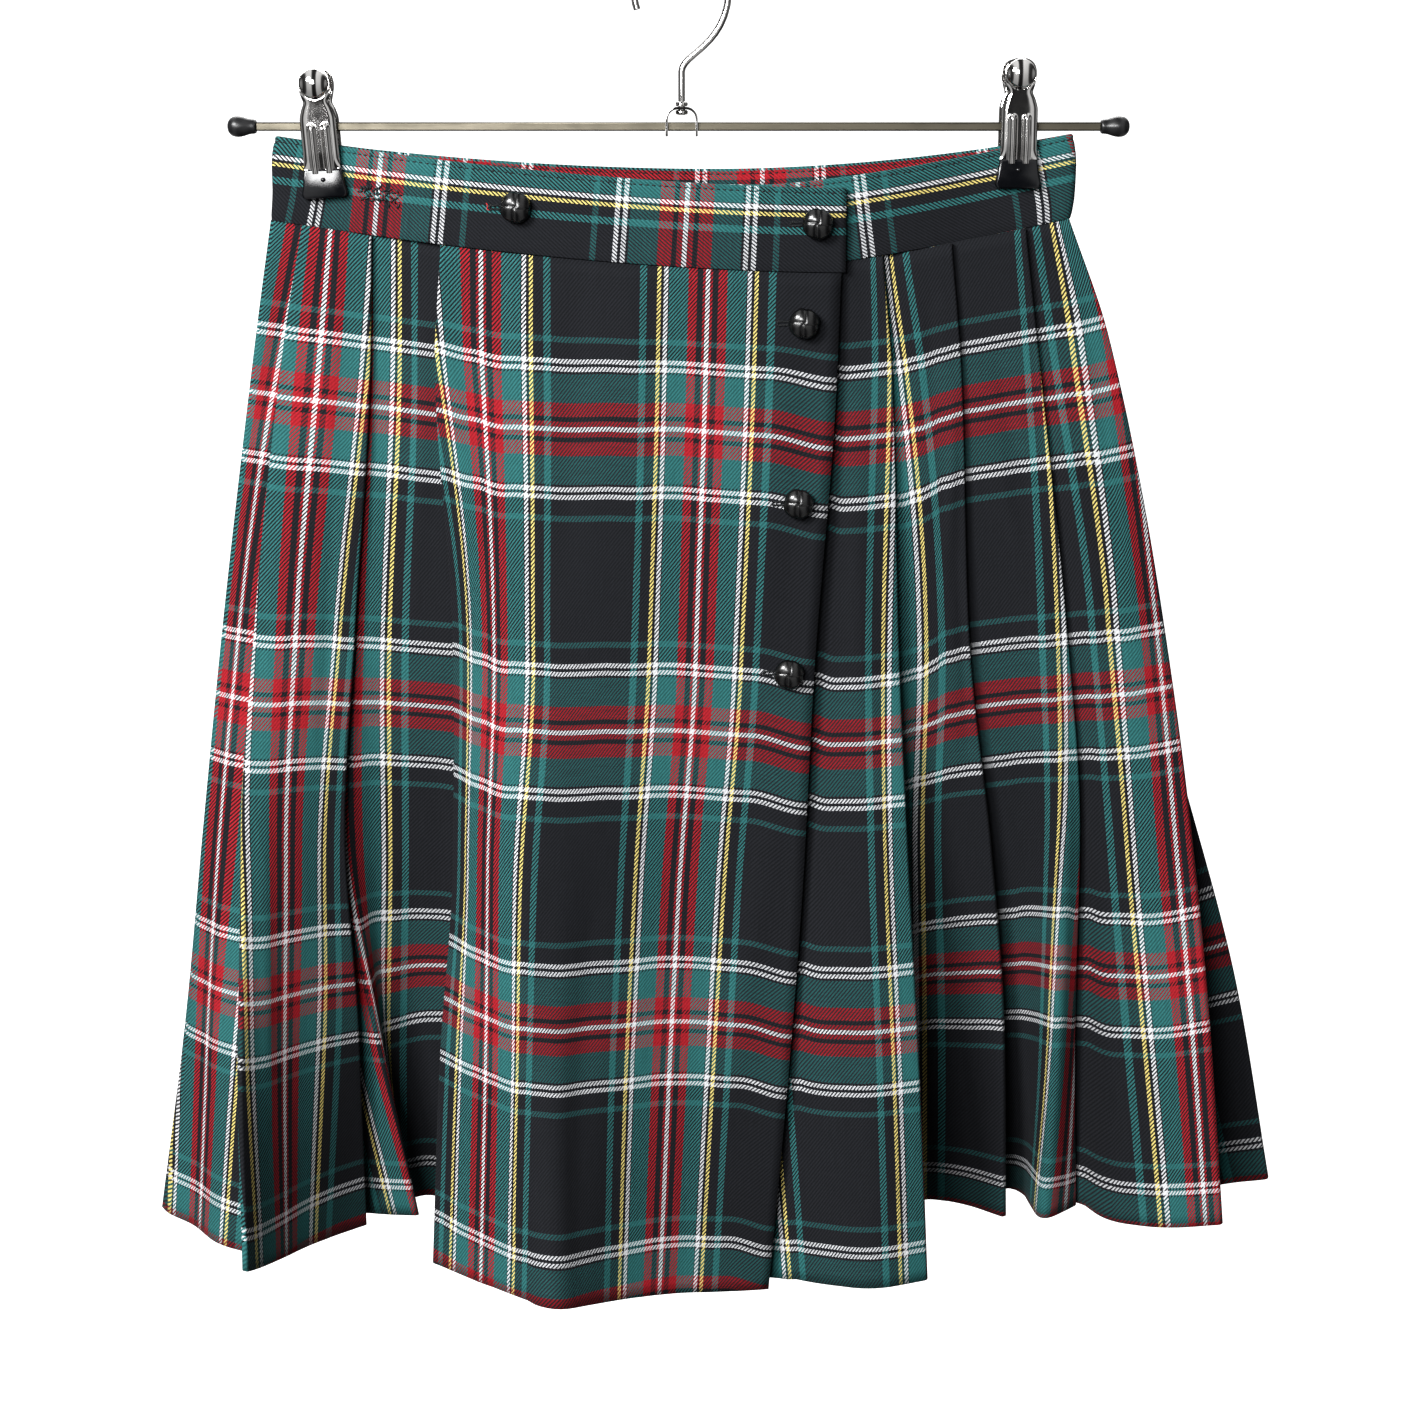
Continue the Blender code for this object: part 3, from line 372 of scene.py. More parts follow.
# The waist seam sags between the clips: x of its lowest point and its height there, then for the
# left and the right side its rise to the end, the distance to it, and how sharply it rises
OVER_SEAM = (75.0, -148.0, (23.6, 269.0, 1.7), (0.0, 1.0, 1.0))
UNDER_SEAM = (40.0, -146.5, (2.0, 122.0, 1.7), (23.3, 145.0, 1.35))
BACK_SEAM = (15.0, -139.5, (14.9, 209.0, 1.9), (16.3, 170.0, 1.9))


def through(values, levels, at):
    """A smooth curve through values at levels, read at one level."""
    last = len(levels) - 1
    index = max(i for i in range(last) if levels[i] <= at)
    span = levels[index + 1] - levels[index]
    share = (at - levels[index]) / span

    def slope(i):
        if i == 0:
            return (values[1] - values[0]) / (levels[1] - levels[0])
        if i == last:
            return (values[last] - values[last - 1]) / (levels[last] - levels[last - 1])
        before = (values[i] - values[i - 1]) / (levels[i] - levels[i - 1])
        after = (values[i + 1] - values[i]) / (levels[i + 1] - levels[i])
        return 0.0 if before * after <= 0 else 2 * before * after / (before + after)

    rise = values[index + 1] - values[index]
    start, end = slope(index) * span, slope(index + 1) * span
    bend = (3 * rise - 2 * start - end) * share**2 + (start + end - 2 * rise) * share**3
    return values[index] + start * share + bend


def seam_z(sag, x):
    """The height of the waist seam at x."""
    low_x, low_z, left, right = sag
    rise, span, power = left if x < low_x else right
    return low_z + rise * (abs(x - low_x) / span) ** power


def back_rows():
    """The back's rows, from the right side to the left: a fold edge and its hidden fold for each pleat."""
    right_x, right_y = RIGHT_PLEATS[-1][2:4]
    left_x, left_y = LEFT_PLEATS[0][2:4]

    def row(name, kind, share, lies, places=None):
        layers_out, underlays, aside = lies
        xs, ys = [], []
        for level in range(len(LEVELS)):
            width = left_x[level] - right_x[level]
            shift = underlays * BACK_UNDERLAY[level] + aside
            here = share + shift / width
            lens = 1 - abs(2 * here - 1) ** BACK_ROUNDNESS
            side_y = right_y[level] + (left_y[level] + BACK_START_Y - right_y[level]) * here
            xs.append(right_x[level] + width * here)
            ys.append(side_y + BACK_BULGE[level] * lens + BACK_LAYER[level] * layers_out)
        return (name, kind, tuple(xs), tuple(ys), places)

    rows = [row("right seam", SEAM, BACK_SEAM_SHARE, SIDE_LIES)]
    edge = [BACK_EDGE_PLACE] * len(CLOTH_LEVELS)
    cloth_levels = [LEVELS.index(below) for below in CLOTH_LEVELS]
    shows = [(left_x[level] - right_x[level]) / BACK_WIDTH for level in cloth_levels]
    emerges = [BACK_EDGE_PLACE + width for width in shows]
    for pleat in range(BACK_PLEATS):
        middle = (pleat + BACK_FIRST) / BACK_WIDTH
        sett = BACK_LAST_SETT - BACK_PLEATS + 1 + pleat
        following = (sett + 1, *emerges) if pleat < BACK_PLEATS - 1 else None
        rows.append(row(f"back panel {pleat}", SOFT, middle, PANEL_LIES))
        rows.append(row(f"back edge {pleat}", FOLD, middle, EDGE_LIES, (sett, *edge)))
        rows.append(row(f"back inner fold {pleat}", FOLD, middle, INNER_LIES))
        rows.append(row(f"back under {pleat}", SOFT, middle, UNDER_LIES, following))
        if pleat == BACK_PLEATS // 2 - 1:
            rows.append(row("centre back", SEAM, middle, CENTRE_LIES))
    rows.append(row("left seam", SEAM, 1 - BACK_SEAM_SHARE, SIDE_LIES))
    return tuple(rows)


strip = UNDER_APRON + RIGHT_PLEATS + back_rows() + LEFT_PLEATS + OVER_APRON
behind = sum(row[0] in BEHIND_SIDE for row in RIGHT_PLEATS)
in_front = len(UNDER_APRON) + len(RIGHT_PLEATS) - behind
in_back = behind + len(strip) - len(UNDER_APRON + RIGHT_PLEATS + LEFT_PLEATS + OVER_APRON)
sags = [UNDER_SEAM] * in_front + [BACK_SEAM] * in_back
sags += [OVER_SEAM] * (len(strip) - len(sags))

# How much of the shorter run beside it a bend takes up, and how many points it has
TRIM = {FOLD: 0.31, SOFT: 0.42}
BENDS = {FOLD: 4, SOFT: 7}


def corners_at(below):
    """The rows' places at one level, with each pressed edge doubled a fold's gap apart."""
    places = [Vector((through(row[2], LEVELS, below), through(row[3], LEVELS, below))) for row in strip]
    corners = []
    for i, (place, row) in enumerate(zip(places, strip)):
        if row[1] != FOLD:
            corners.append((place, row[1], i))
            continue
        before = (places[i - 1] - place).normalized()
        after = (places[i + 1] - place).normalized()
        across = (before - after).normalized() * (FOLD_GAP / 2)
        corners.append((place + across, FOLD, i))
        corners.append((place - across, FOLD, i))
    return corners


def bends_at(below):
    """For each corner the points of its bend at one level."""
    corners = corners_at(below)
    bends = []
    for i, (place, kind, row) in enumerate(corners):
        if i in (0, len(corners) - 1) or kind in (SEAM, END):
            bends.append((row, kind, [place]))
            continue
        before = corners[i - 1][0] - place
        after = corners[i + 1][0] - place
        reach = TRIM[kind] * min(before.length, after.length)
        start = place + before.normalized() * reach
        end = place + after.normalized() * reach
        shares = [step / (BENDS[kind] - 1) for step in range(BENDS[kind])]
        points = [start * (1 - t) ** 2 + place * (2 * t * (1 - t)) + end * t**2 for t in shares]
        bends.append((row, kind, points))
    return bends


# The straight runs between the bends are cut as finely as the hem needs
hem_bends = bends_at(SKIRT_LENGTH)
runs = [
    max(1, math.ceil((after[2][0] - before[2][-1]).length / COLUMN_STEP))
    for before, after in zip(hem_bends, hem_bends[1:])
]


def ring_at(below):
    """One ring of the strip: its points, and for each the row it belongs to."""
    bends = bends_at(below)
    points, owners = [], []
    for number, (row, kind, bend) in enumerate(bends):
        points += bend
        owners += [row] * len(bend)
        if number < len(runs):
            end = bends[number + 1][2][0]
            for step in range(1, runs[number]):
                points.append(bend[-1].lerp(end, step / runs[number]))
                owners.append(row)
    return points, owners


# Where each row's own line, seam and fold lies among the columns
row_columns = {}
fold_columns = []
count = 0
for number, (row, kind, bend) in enumerate(hem_bends):
    middle = count + len(bend) // 2
    if kind == FOLD:
        first_of_two = number + 1 < len(hem_bends) and hem_bends[number + 1][0] == row
        middle = count + len(bend) - 1 if first_of_two else count
        fold_columns.append(middle)
    row_columns.setdefault(row, middle)
    count += len(bend) + (runs[number] - 1 if number < len(runs) else 0)
column_count = count


def lengths_along(ring):
    lengths = [0.0]
    for before, after in zip(ring, ring[1:]):
        lengths.append(lengths[-1] + (after - before).length)
    return lengths


def within(value):
    """A share, held between 0 and 1."""
    return max(0.0, min(1.0, value))


def soft_step(share):
    """A share that starts and ends without a kink."""
    return share * share * (3 - 2 * share)


def spread(known, lengths, slope, soft=False):
    """A value at each column: known at some, by length between them, and with a slope past the ends.

    A soft spread has no kink where a value is known.
    """
    values = []
    for column, length in enumerate(lengths):
        left = max((k for k in known if k[0] <= column), default=known[0])
        right = min((k for k in known if k[0] >= column), default=known[-1])
        span = lengths[right[0]] - lengths[left[0]]
        past = length - lengths[left[0]]
        if span == 0:
            values.append(left[1] + slope * past)
        else:
            share = soft_step(past / span) if soft else past / span
            values.append(left[1] + (right[1] - left[1]) * share)
    return values


def cloth_places(lengths, below):
    """How far across the cloth each column lies."""
    known = [
        (row_columns[i], row[4][0] * SETT_REPEAT + through(row[4][1:], CLOTH_LEVELS, below))
        for i, row in enumerate(strip)
        if row[4] is not None
    ]
    return spread(known, lengths, 1.0)


# Creases fade out this close to a pressed edge
FADE_LENGTH = 7.0
hem_lengths = lengths_along(ring_at(SKIRT_LENGTH)[0])
freedom = []
for length in hem_lengths:
    nearest = min(abs(length - hem_lengths[column]) for column in fold_columns)
    freedom.append(soft_step(within(nearest / FADE_LENGTH)))

# The creases and soft waves: the sett each lies in, how far across from its middle and how far down
# it starts, the same for its end, its half width, and how far it stands out, all in mm
CREASES = (
    (-1, -12, 6, -4, 118, 8.0, -1.5), (-1, 18, 4, 22, 92, 9.0, 1.2), (-1, 46, 2, 40, 150, 10.0, -1.3),
    (0, -38, 6, -30, 84, 8.0, 1.0), (0, -12, 12, -6, 180, 12.0, -1.3), (0, 12, 3, 10, 60, 7.0, 0.9),
    (0, 34, 10, 30, 210, 9.0, 1.3), (0, 49, 30, 47, 160, 5.0, -0.9), (0, 44, 260, 30, 420, 9.0, 1.4),
    (-1, 30, 250, 24, 470, 9.0, 1.6), (-1, 62, 300, 58, 500, 8.0, -1.5), (0, 6, 330, 2, 500, 10.0, 1.2),
    (-17, -36, 60, -34, 230, 7.0, 1.2), (-17, -22, 150, -18, 330, 5.0, -0.8),
    (-17, -52, 330, -50, 490, 8.0, 1.4), (-17, 40, 20, 34, 95, 5.0, -0.9), (-17, 46, 70, 37, 150, 4.0, 1.1),
    (-17, 42, 150, 46, 260, 5.5, -1.4), (-17, 38, 300, 44, 430, 8.0, 1.2),
    (-15, -52, 70, -36, 170, 5.0, 1.2), (-15, -44, 60, -30, 140, 4.0, -0.9),
    (-15, -30, 150, -22, 260, 5.0, 1.0), (-14, -30, 90, -24, 300, 5.0, 1.0),
    (-14, -14, 30, -14, 150, 4.5, -0.8), (-14, -34, 320, -36, 480, 7.0, 1.5),
    (-5, -4, 20, -2, 90, 5.0, -0.9), (-5, 2, 240, 6, 420, 6.0, 1.4), (-4, 4, 10, 6, 110, 5.0, 1.0),
    (-4, 12, 120, 20, 260, 5.0, -1.1), (-4, -12, 280, -10, 430, 6.0, 1.2), (-3, 36, 40, 34, 190, 7.0, 1.2),
    (-3, 44, 230, 50, 380, 8.0, -1.6), (-3, 24, 300, 26, 480, 6.0, 1.2), (-6, -14, 12, -10, 130, 7.0, 1.3),
    (-7, -8, 60, -6, 260, 8.0, -1.4), (-8, -16, 8, -12, 90, 6.0, -1.0), (-8, -10, 240, -14, 470, 9.0, 1.7),
    (-9, -18, 30, -12, 160, 7.0, 1.2), (-10, -6, 90, -10, 330, 9.0, -1.5),
    (-10, -30, 300, -26, 500, 8.0, 1.6), (-11, -12, 6, -16, 120, 7.0, 1.1),
    (-12, -8, 150, -12, 400, 9.0, 1.6), (-12, -28, 300, -24, 490, 7.0, -1.5),
    (-13, -14, 20, -10, 140, 7.0, -1.1), (-13, -22, 260, -18, 460, 8.0, 1.6),
)
# How sharply a crease's sides fall, how wide it is reckoned, and the share of its depth at its ends
CREASE_FALL, CREASE_REACH, CREASE_END = 1.6, 2.2, 0.12
WAVE_DEPTH = 0.9
WAVE_ACROSS, WAVE_DOWN, WAVE_FROM, WAVE_SEED = 75.0, 142.5, 120.0, 3.7
# Near the sides the skirt's top edge stands this far up into the waistband's foot
TOP_LAP, LAP_REACH = 0.55, 12.0
LAP_FROM_LEFT, LAP_FROM_RIGHT = 150.0, 112.0
crease_lines = [
    (Vector((sett * SETT_REPEAT + x, z)), Vector((x_end - x, z_end - z)), half_width, depth)
    for sett, x, z, x_end, z_end, half_width, depth in CREASES
]


def crease_depth(across, below):
    """How far all the creases together push the cloth out at one place on it."""
    depth = 0.0
    place = Vector((across, below))
    for start, line, half_width, deep in crease_lines:
        share = within((place - start).dot(line) / line.length_squared)
        away = (place - start - line * share).length / half_width
        if away < CREASE_REACH:
            along = math.sin(math.pi * (CREASE_END + (1 - 2 * CREASE_END) * share))
            depth += deep * math.exp(-away * away * CREASE_FALL) * along
    return depth


ring_count = round(SKIRT_LENGTH / RING_STEP)
levels_down = [SKIRT_LENGTH * step / ring_count for step in range(ring_count + 1)]
rings, cloth_across, ring_widths = [], [], []
for number, below in enumerate(levels_down):
    flat, owners = ring_at(below)
    lengths = lengths_along(flat)
    ring_widths.append(lengths)
    across = cloth_places(lengths, below)
    hang = min(1.0, below / WAVE_FROM)
    points = []
    for column, (place, owner) in enumerate(zip(flat, owners)):
        before = flat[max(0, column - 1)]
        after = flat[min(column_count - 1, column + 1)]
        out = Vector((after.y - before.y, before.x - after.x)).normalized()
        wave = noise.noise(Vector((across[column] / WAVE_ACROSS, below / WAVE_DOWN, WAVE_SEED)))
        push = crease_depth(across[column], below) + WAVE_DEPTH * wave * hang
        moved = place + out * (push * freedom[column])
        if number == 0:
            lap = within(max(place.x - LAP_FROM_RIGHT, -place.x - LAP_FROM_LEFT) / LAP_REACH)
            z = seam_z(sags[owner], place.x) - SEAM_GAP + lap * TOP_LAP
        else:
            above = rings[-1][column]
            drop = below - levels_down[number - 1]
            aside = (moved - above.xy).length_squared
            z = above.z - math.sqrt(max(drop**2 - aside, drop**2 / 4))
        points.append(Vector((moved.x, moved.y, z)))
    rings.append(points)
    cloth_across.append(across)

# The weft's first red stripe lies this far below the waist seam. The cloth is eased into the band
# and the pleats hang unevenly, so each row's weft lies this far higher, at each of EASE_LEVELS. At
# the seam the ease is 0, and at the hem it is the last one again.
WEFT_MIDDLE = 80.5
EASE_LEVELS = (70.0, 195.0, 258.0, 341.0, 404.0, 487.0)
WEFT_EASE = {
    "front left": (-3, -6.8, -6.3, -5, -3.6, 0), "front edge": (-3, -6.8, -6.3, -5, -3.4, 0),
    "second left": (-4, -9.5, -5.7, -1, 2.5, 2.5), "second deep": (-3, -8.5, -4.2, 1, 3.8, 2.5),
    "second right": (-1, -2.5, -1.5, 3.8, 5.3, 2.5), "second edge": (0, -1.7, -1, 4.6, 5.7, 2.5),
    "third left": (0, -1.3, 0, 3, 5, 1), "third middle": (0, -1.7, 0, 3.8, 5.5, 1.7),
    "third ridge": (0, -2.1, 0, 4.2, 5.7, 2.1), "third edge": (0, -2.5, -1, 0, 1, -1),
    "fourth valley": (-1, -3.8, -2.5, -1.3, -1, 1), "fourth left": (-1, -4.6, -3.4, -2.5, -1.7, 1.7),
    "fourth middle": (-2, -6.3, -4.6, -4.2, -2.1, 2.1), "fourth edge": (-2, -7.4, -5.5, -4.2, -1.3, 1.7),
    "fifth middle": (0, -3, -3, -4.2, -1, 3.1), "right side": (0, 0, -1, -4, -1, 3.1),
    "left side": (-1, -4, -5.5, -6.4, -3.7, 3.4), "side right": (-1, -4, -5.5, -6.4, -3.7, 3.4),
    "first edge": (-1, -4, -5, -5.9, -4.2, -0.3), "first fold": (0, 0, 0, 0, 2.5, 6.8),
    "strip left": (0, 0, 0, 0, -2.5, 0), "strip edge": (0, 0, 0, 0, -2.5, 0),
    "inner left": (0, 0, 1, 2.5, 0.8, 3), "inner right": (0, 1, 2, 5.6, 8.5, 5),
}
UNEASED = ("under right", "under front edge", "right seam", "left seam", "under apron edge")
# The over apron's rows each have their own ease, and all rise alike towards the hem
APRON_EASE = {
    "apron edge": 3.5, "apron first": 1, "apron second": -1, "apron ridge": 0.5, "apron fall": 2.8,
    "apron middle": 4.8, "apron right": 4, "button edge": -2,
}
APRON_RISE = (0, 0, 0, 0, 1.7, 4.2)
eases = {name: (0,) * len(EASE_LEVELS) for name in UNEASED} | WEFT_EASE
for name, ease in APRON_EASE.items():
    eases[name] = tuple(ease + rise for rise in APRON_RISE)
weft_ease = []
for below in levels_down:
    eased_rows = []
    for i, row in enumerate(strip):
        if row[0] in eases:
            here = (0.0, *eases[row[0]], eases[row[0]][-1])
            eased_rows.append((row_columns[i], through(here, (0.0, *EASE_LEVELS, SKIRT_LENGTH), below)))
    weft_ease.append(spread(eased_rows, hem_lengths, 0.0, soft=True))


def smooth_shaded(bm):
    for face in bm.faces:
        face.smooth = True


def fresh(made, kind):
    """What an operator has just made, of one kind of element."""
    return [item for item in made["geom"] if isinstance(item, kind)]


def grown(rows, closed=False, capped=False, uv_at=None):
    """A surface grown from its first row of points, extruded row by row through the others."""
    bm = bmesh.new()
    column_of = bm.verts.layers.int.new("column")
    row_of = bm.verts.layers.int.new("row")
    uv = bm.loops.layers.uv.new("cloth")
    first = [bm.verts.new(point * MM) for point in rows[0]]
    for column, vert in enumerate(first):
        vert[column_of] = column
    edges = [bm.edges.new(pair) for pair in zip(first, first[1:])]
    if closed:
        edges.append(bm.edges.new((first[-1], first[0])))
    for number in range(1, len(rows)):
        made = bmesh.ops.extrude_edge_only(bm, edges=edges)
        for vert in fresh(made, bmesh.types.BMVert):
            vert.co = rows[number][vert[column_of]] * MM
            vert[row_of] = number
        edges = fresh(made, bmesh.types.BMEdge)
        edges = [edge for edge in edges if all(vert[row_of] == number for vert in edge.verts)]
    if capped:
        bmesh.ops.holes_fill(bm, edges=[edge for edge in bm.edges if edge.is_boundary], sides=len(first) + 1)
        bmesh.ops.recalc_face_normals(bm, faces=bm.faces)
    smooth_shaded(bm)
    loops = [(face, loop) for face in bm.faces for loop in face.loops] if uv_at else []
    for face, loop in loops:
        column = loop.vert[column_of]
        if closed and column == 0 and max(vert[column_of] for vert in face.verts) > 1:
            column = len(first)
        loop[uv].uv = Vector(uv_at(column, loop.vert[row_of])) * MM
    for layer in ("column", "row"):
        bm.verts.layers.int.remove(bm.verts.layers.int[layer])
    return bm


def in_scene(name, data, material):
    """A mesh or a curve put in the scene with its material."""
    data.materials.append(material)
    made = bpy.data.objects.new(name, data)
    bpy.context.scene.collection.objects.link(made)
    return made


def mesh_from(name, bm):
    mesh = bpy.data.meshes.new(name)
    bm.to_mesh(mesh)
    bm.free()
    return mesh


def as_piece(made, replaced=()):
    """An object made one of the skirt's pieces, with the nodes it stands for."""
    if replaced:
        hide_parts(*replaced)
    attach(made, "root")
    return made


def made_piece(name, bm, material, replaced=()):
    return as_piece(in_scene(name, mesh_from(name, bm), material), replaced)


def thicken(piece, thickness):
    """Give a surface its thickness, half to each side."""
    thick = piece.modifiers.new("thickness", "SOLIDIFY")
    thick.thickness = thickness * MM
    thick.offset = 0.0


def lay_cloth(name, first, last):
    """One panel of the strip, with its place on the woven cloth."""

    def cloth_place(column, row):
        down = levels_down[row] - WEFT_MIDDLE + weft_ease[row][first + column]
        return cloth_across[row][first + column], down

    bm = grown([ring[first : last + 1] for ring in rings], uv_at=cloth_place)
    piece = made_piece(f"{name}_cloth", bm, skirt_cloth, (name,))
    thicken(piece, CLOTH_THICK)
    return piece


seam_columns = [row_columns[i] for i, row in enumerate(strip) if row[1] == SEAM]
ends = [0] + seam_columns + [column_count - 1]
panels = (
    "under_apron", "right_pleats", "back_right_pleats", "back_left_pleats", "left_pleats", "over_apron",
)
skirt_pieces = {name: lay_cloth(name, first, last) for name, first, last in zip(panels, ends, ends[1:])}


# The waistband: one strip of the same cloth, turned on its side and folded over at the top, whose
# over end is buttoned on its under end. The skirt's top is sewn in between its layers, and a row
# of stitches runs close under the fold.

BAND_HEIGHT = 39.0
BAND_HALF = 1.15
# Each stretch's seam, x and y along it, and where the weft's red middle lies on it: at which x, and
# how many repeats along the band it is
BAND = (
    (UNDER_SEAM, (
        (-82, -8.6), (-42, -12.0), (8, -12.9), (50, -12.2), (80, -10.4), (104, -7.4), (122, -4.6),
        (136, -2.3), (147, -1.6), (160, -1.5), (174, -1.5), (183.5, -1.5), (184.6, -0.95),
    ), ((56.5, 0),)),
    (BACK_SEAM, (
        (185, 0), (184.6, 0.95), (183.5, 1.5), (172, 1.5), (147, 1.6), (134, 3.4), (110, 6.2), (70, 8.6),
        (20, 9.8), (-30, 9.6), (-80, 8.0), (-120, 5.4), (-146, 2.6), (-160, 1.6), (-180, 1.5),
        (-193.4, 1.5), (-194.5, 0.95),
    ), ((172.0, 1), (38.0, 2))),
    (OVER_SEAM, (
        (-194.9, 0), (-194.5, -0.95), (-193.4, -1.5), (-182, -1.5), (-160, -1.6), (-146, -3.2),
        (-122, -8.6), (-94, -12.4), (-58, -15.2), (-28, -16.8), (2, -17.2), (38, -16.4),
        (62, -15.2), (77, -14.2),
    ), ((-144.0, 4), (1.9, 5))),
)
BAND_STEP = 3.2
WEFT_REPEAT = 146.0
# The warp's place at the fold, from a red stripe's middle: outside it runs down from here
BAND_FOLD_PLACE = 9.6
# The fold itself takes up this much cloth before the inside begins
FOLD_TAKES = 1.4
STITCH_BELOW_TOP, STITCH_LENGTH, STITCH_PITCH = 2.4, 2.1, 2.9
# How far the worn, pulled ends of the band stand right of a straight fold, at heights above its seam
LEFT_END = ((0.0, 0.7), (15.0, 2.0), (28.0, 2.2), (BAND_HEIGHT, 4.2))
RIGHT_END = ((0.0, -1.2), (12.0, 0.3), (26.0, 0.5), (33.0, -0.4), (BAND_HEIGHT, -1.5))
END_FROM, END_REACH = 143.0, 42.0
# How far the seam and the stitches pinch the band, at least and at most, and how high the pinch is
SEAM_PINCH, SEAM_PINCH_HIGH = 0.34, 1.6
STITCH_PINCH, STITCH_PINCH_MORE, STITCH_PINCH_HIGH = 0.34, 0.16, 0.8
# Each deep pinch is this many stitches from the next
PINCH_EVERY = 2.13
# The puckers beside seam and fold and the band's slow waves: depth, and size along and up
PUCKER_DEPTH, PUCKER_LONG, PUCKER_HIGH, PUCKER_REACH, PUCKER_SEED = 0.12, 7.0, 22.0, 5.0, 4.0
BAND_WAVE_DEPTH, BAND_WAVE_LONG, BAND_WAVE_HIGH, BAND_WAVE_SEED = 0.35, 46.0, 60.0, 9.0

band_path, band_sags = [], []
corners = [(Vector((x, y)), sag) for sag, places, _ in BAND for x, y in places]
for (here, sag), (after, _) in zip(corners, corners[1:]):
    steps = max(1, math.ceil((after - here).length / BAND_STEP))
    for step in range(steps):
        band_path.append(here.lerp(after, step / steps))
        band_sags.append(sag)
band_path.append(corners[-1][0])
band_sags.append(OVER_SEAM)
# The path's corners are rounded off where cloth bends round the sides
for _ in range(3):
    smoothed = [(a + b * 2 + c) / 4 for a, b, c in zip(band_path, band_path[1:], band_path[2:])]
    band_path = [band_path[0]] + smoothed + [band_path[-1]]
band_lengths = lengths_along(band_path)
red_anchors = []
for sag, _, reds in BAND:
    near = [i for i, one in enumerate(band_sags) if one is sag]
    for x, repeats in reds:
        column = min(near, key=lambda i: abs(band_path[i].x - x))
        red_anchors.append((column, repeats * WEFT_REPEAT))
band_along = spread(red_anchors, band_lengths, 1.0)


def band_frame(column):
    """The band's middle line and outward direction at one column."""
    before = band_path[max(0, column - 1)]
    after = band_path[min(len(band_path) - 1, column + 1)]
    along = (after - before).normalized()
    return band_path[column], Vector((along.y, -along.x))


def band_point(column, height, aside):
    """A point beside the band's middle line, at a height above its seam."""
    place, out = band_frame(column)
    moved = place + out * aside
    heights, shifts = zip(*(LEFT_END if place.x < 0 else RIGHT_END))
    share = soft_step(within((abs(place.x) - END_FROM) / END_REACH))
    shift = through(shifts, heights, min(height, BAND_HEIGHT)) * share
    return Vector((moved.x + shift, moved.y, seam_z(band_sags[column], place.x) + height))


def band_face(column, height, side):
    """A point on the band's outer (1) or inner (-1) face, pinched by the seam and the stitches."""
    top = BAND_HEIGHT - height
    along = band_lengths[column]
    pinch = SEAM_PINCH * math.exp(-((height / SEAM_PINCH_HIGH) ** 2))
    stitched = 0.5 + 0.5 * math.cos(math.tau * along / (STITCH_PITCH * PINCH_EVERY))
    near_stitches = math.exp(-(((top - STITCH_BELOW_TOP) / STITCH_PINCH_HIGH) ** 2))
    pinch += (STITCH_PINCH + STITCH_PINCH_MORE * stitched) * near_stitches
    pucker = noise.noise(Vector((along / PUCKER_LONG, height / PUCKER_HIGH, side * PUCKER_SEED)))
    wave = noise.noise(Vector((along / BAND_WAVE_LONG, height / BAND_WAVE_HIGH, BAND_WAVE_SEED)))
    near_edge = math.exp(-height / PUCKER_REACH) + math.exp(-top / PUCKER_REACH)
    half = BAND_HALF - pinch + PUCKER_DEPTH * pucker * near_edge
    wave *= BAND_WAVE_DEPTH * math.sin(math.pi * height / BAND_HEIGHT)
    return band_point(column, height, side * half + wave)


# One turn of the band's section: up the outside, over the fold, down the inside. A face's points lie
# at these heights above the seam, and the fold's at these turns, in degrees.
FACE_HEIGHTS = (0.0, 0.5, 1.3, 2.6, 5, 9, 14, 19.5, 25, 30, 33.5, 35.3, 36.2, 37.0, 37.9)
FOLD_TURNS = (25, 60, 90, 120, 155)
band_rows = []
for column in range(len(band_path)):
    band_rows.append(
        [band_face(column, height, 1) for height in FACE_HEIGHTS]
        + [
            band_point(column, FACE_HEIGHTS[-1] + BAND_HALF * math.sin(turn), BAND_HALF * math.cos(turn))
            for turn in map(math.radians, FOLD_TURNS)
        ]
        + [band_face(column, height, -1) for height in reversed(FACE_HEIGHTS)]
    )
# The weft runs square to the band's edges, so where the seam slopes it leans
band_heights = (*FACE_HEIGHTS, *[BAND_HEIGHT] * len(FOLD_TURNS), *reversed(FACE_HEIGHTS), 0.0)
band_slopes = []
for column, place in enumerate(band_path):
    sag = band_sags[column]
    rise = seam_z(sag, place.x + 1) - seam_z(sag, place.x - 1)
    band_slopes.append(-band_frame(column)[1].y * rise / 2)
around = lengths_along(band_rows[0])
fold_at = around[len(FACE_HEIGHTS) + len(FOLD_TURNS) // 2]
around.append(around[-1] + 2 * BAND_HALF)


def band_cloth_place(column, row):
    """Along the band, and across the warp: down the outside, and up past the fold on the inside."""
    lean = band_slopes[row] * (band_heights[column] - BAND_HEIGHT / 2)
    across = fold_at - around[column]
    if across < 0:
        across = min(0.0, across + FOLD_TAKES)
    return band_along[row] + lean, BAND_FOLD_PLACE + across


band_mesh = grown(band_rows, closed=True, capped=True, uv_at=band_cloth_place)
waistband = made_piece("waistband_cloth", band_mesh, band_cloth, ("waistband",))


# Sewing thread: twisted polyester, laid as short stitches that sink into the cloth between them.
# A row of it holds the band's fold, seen on its outer and its inner face.

DARK_THREAD, RED_THREAD = (0.003, 0.004, 0.005), (0.32, 0.018, 0.022)
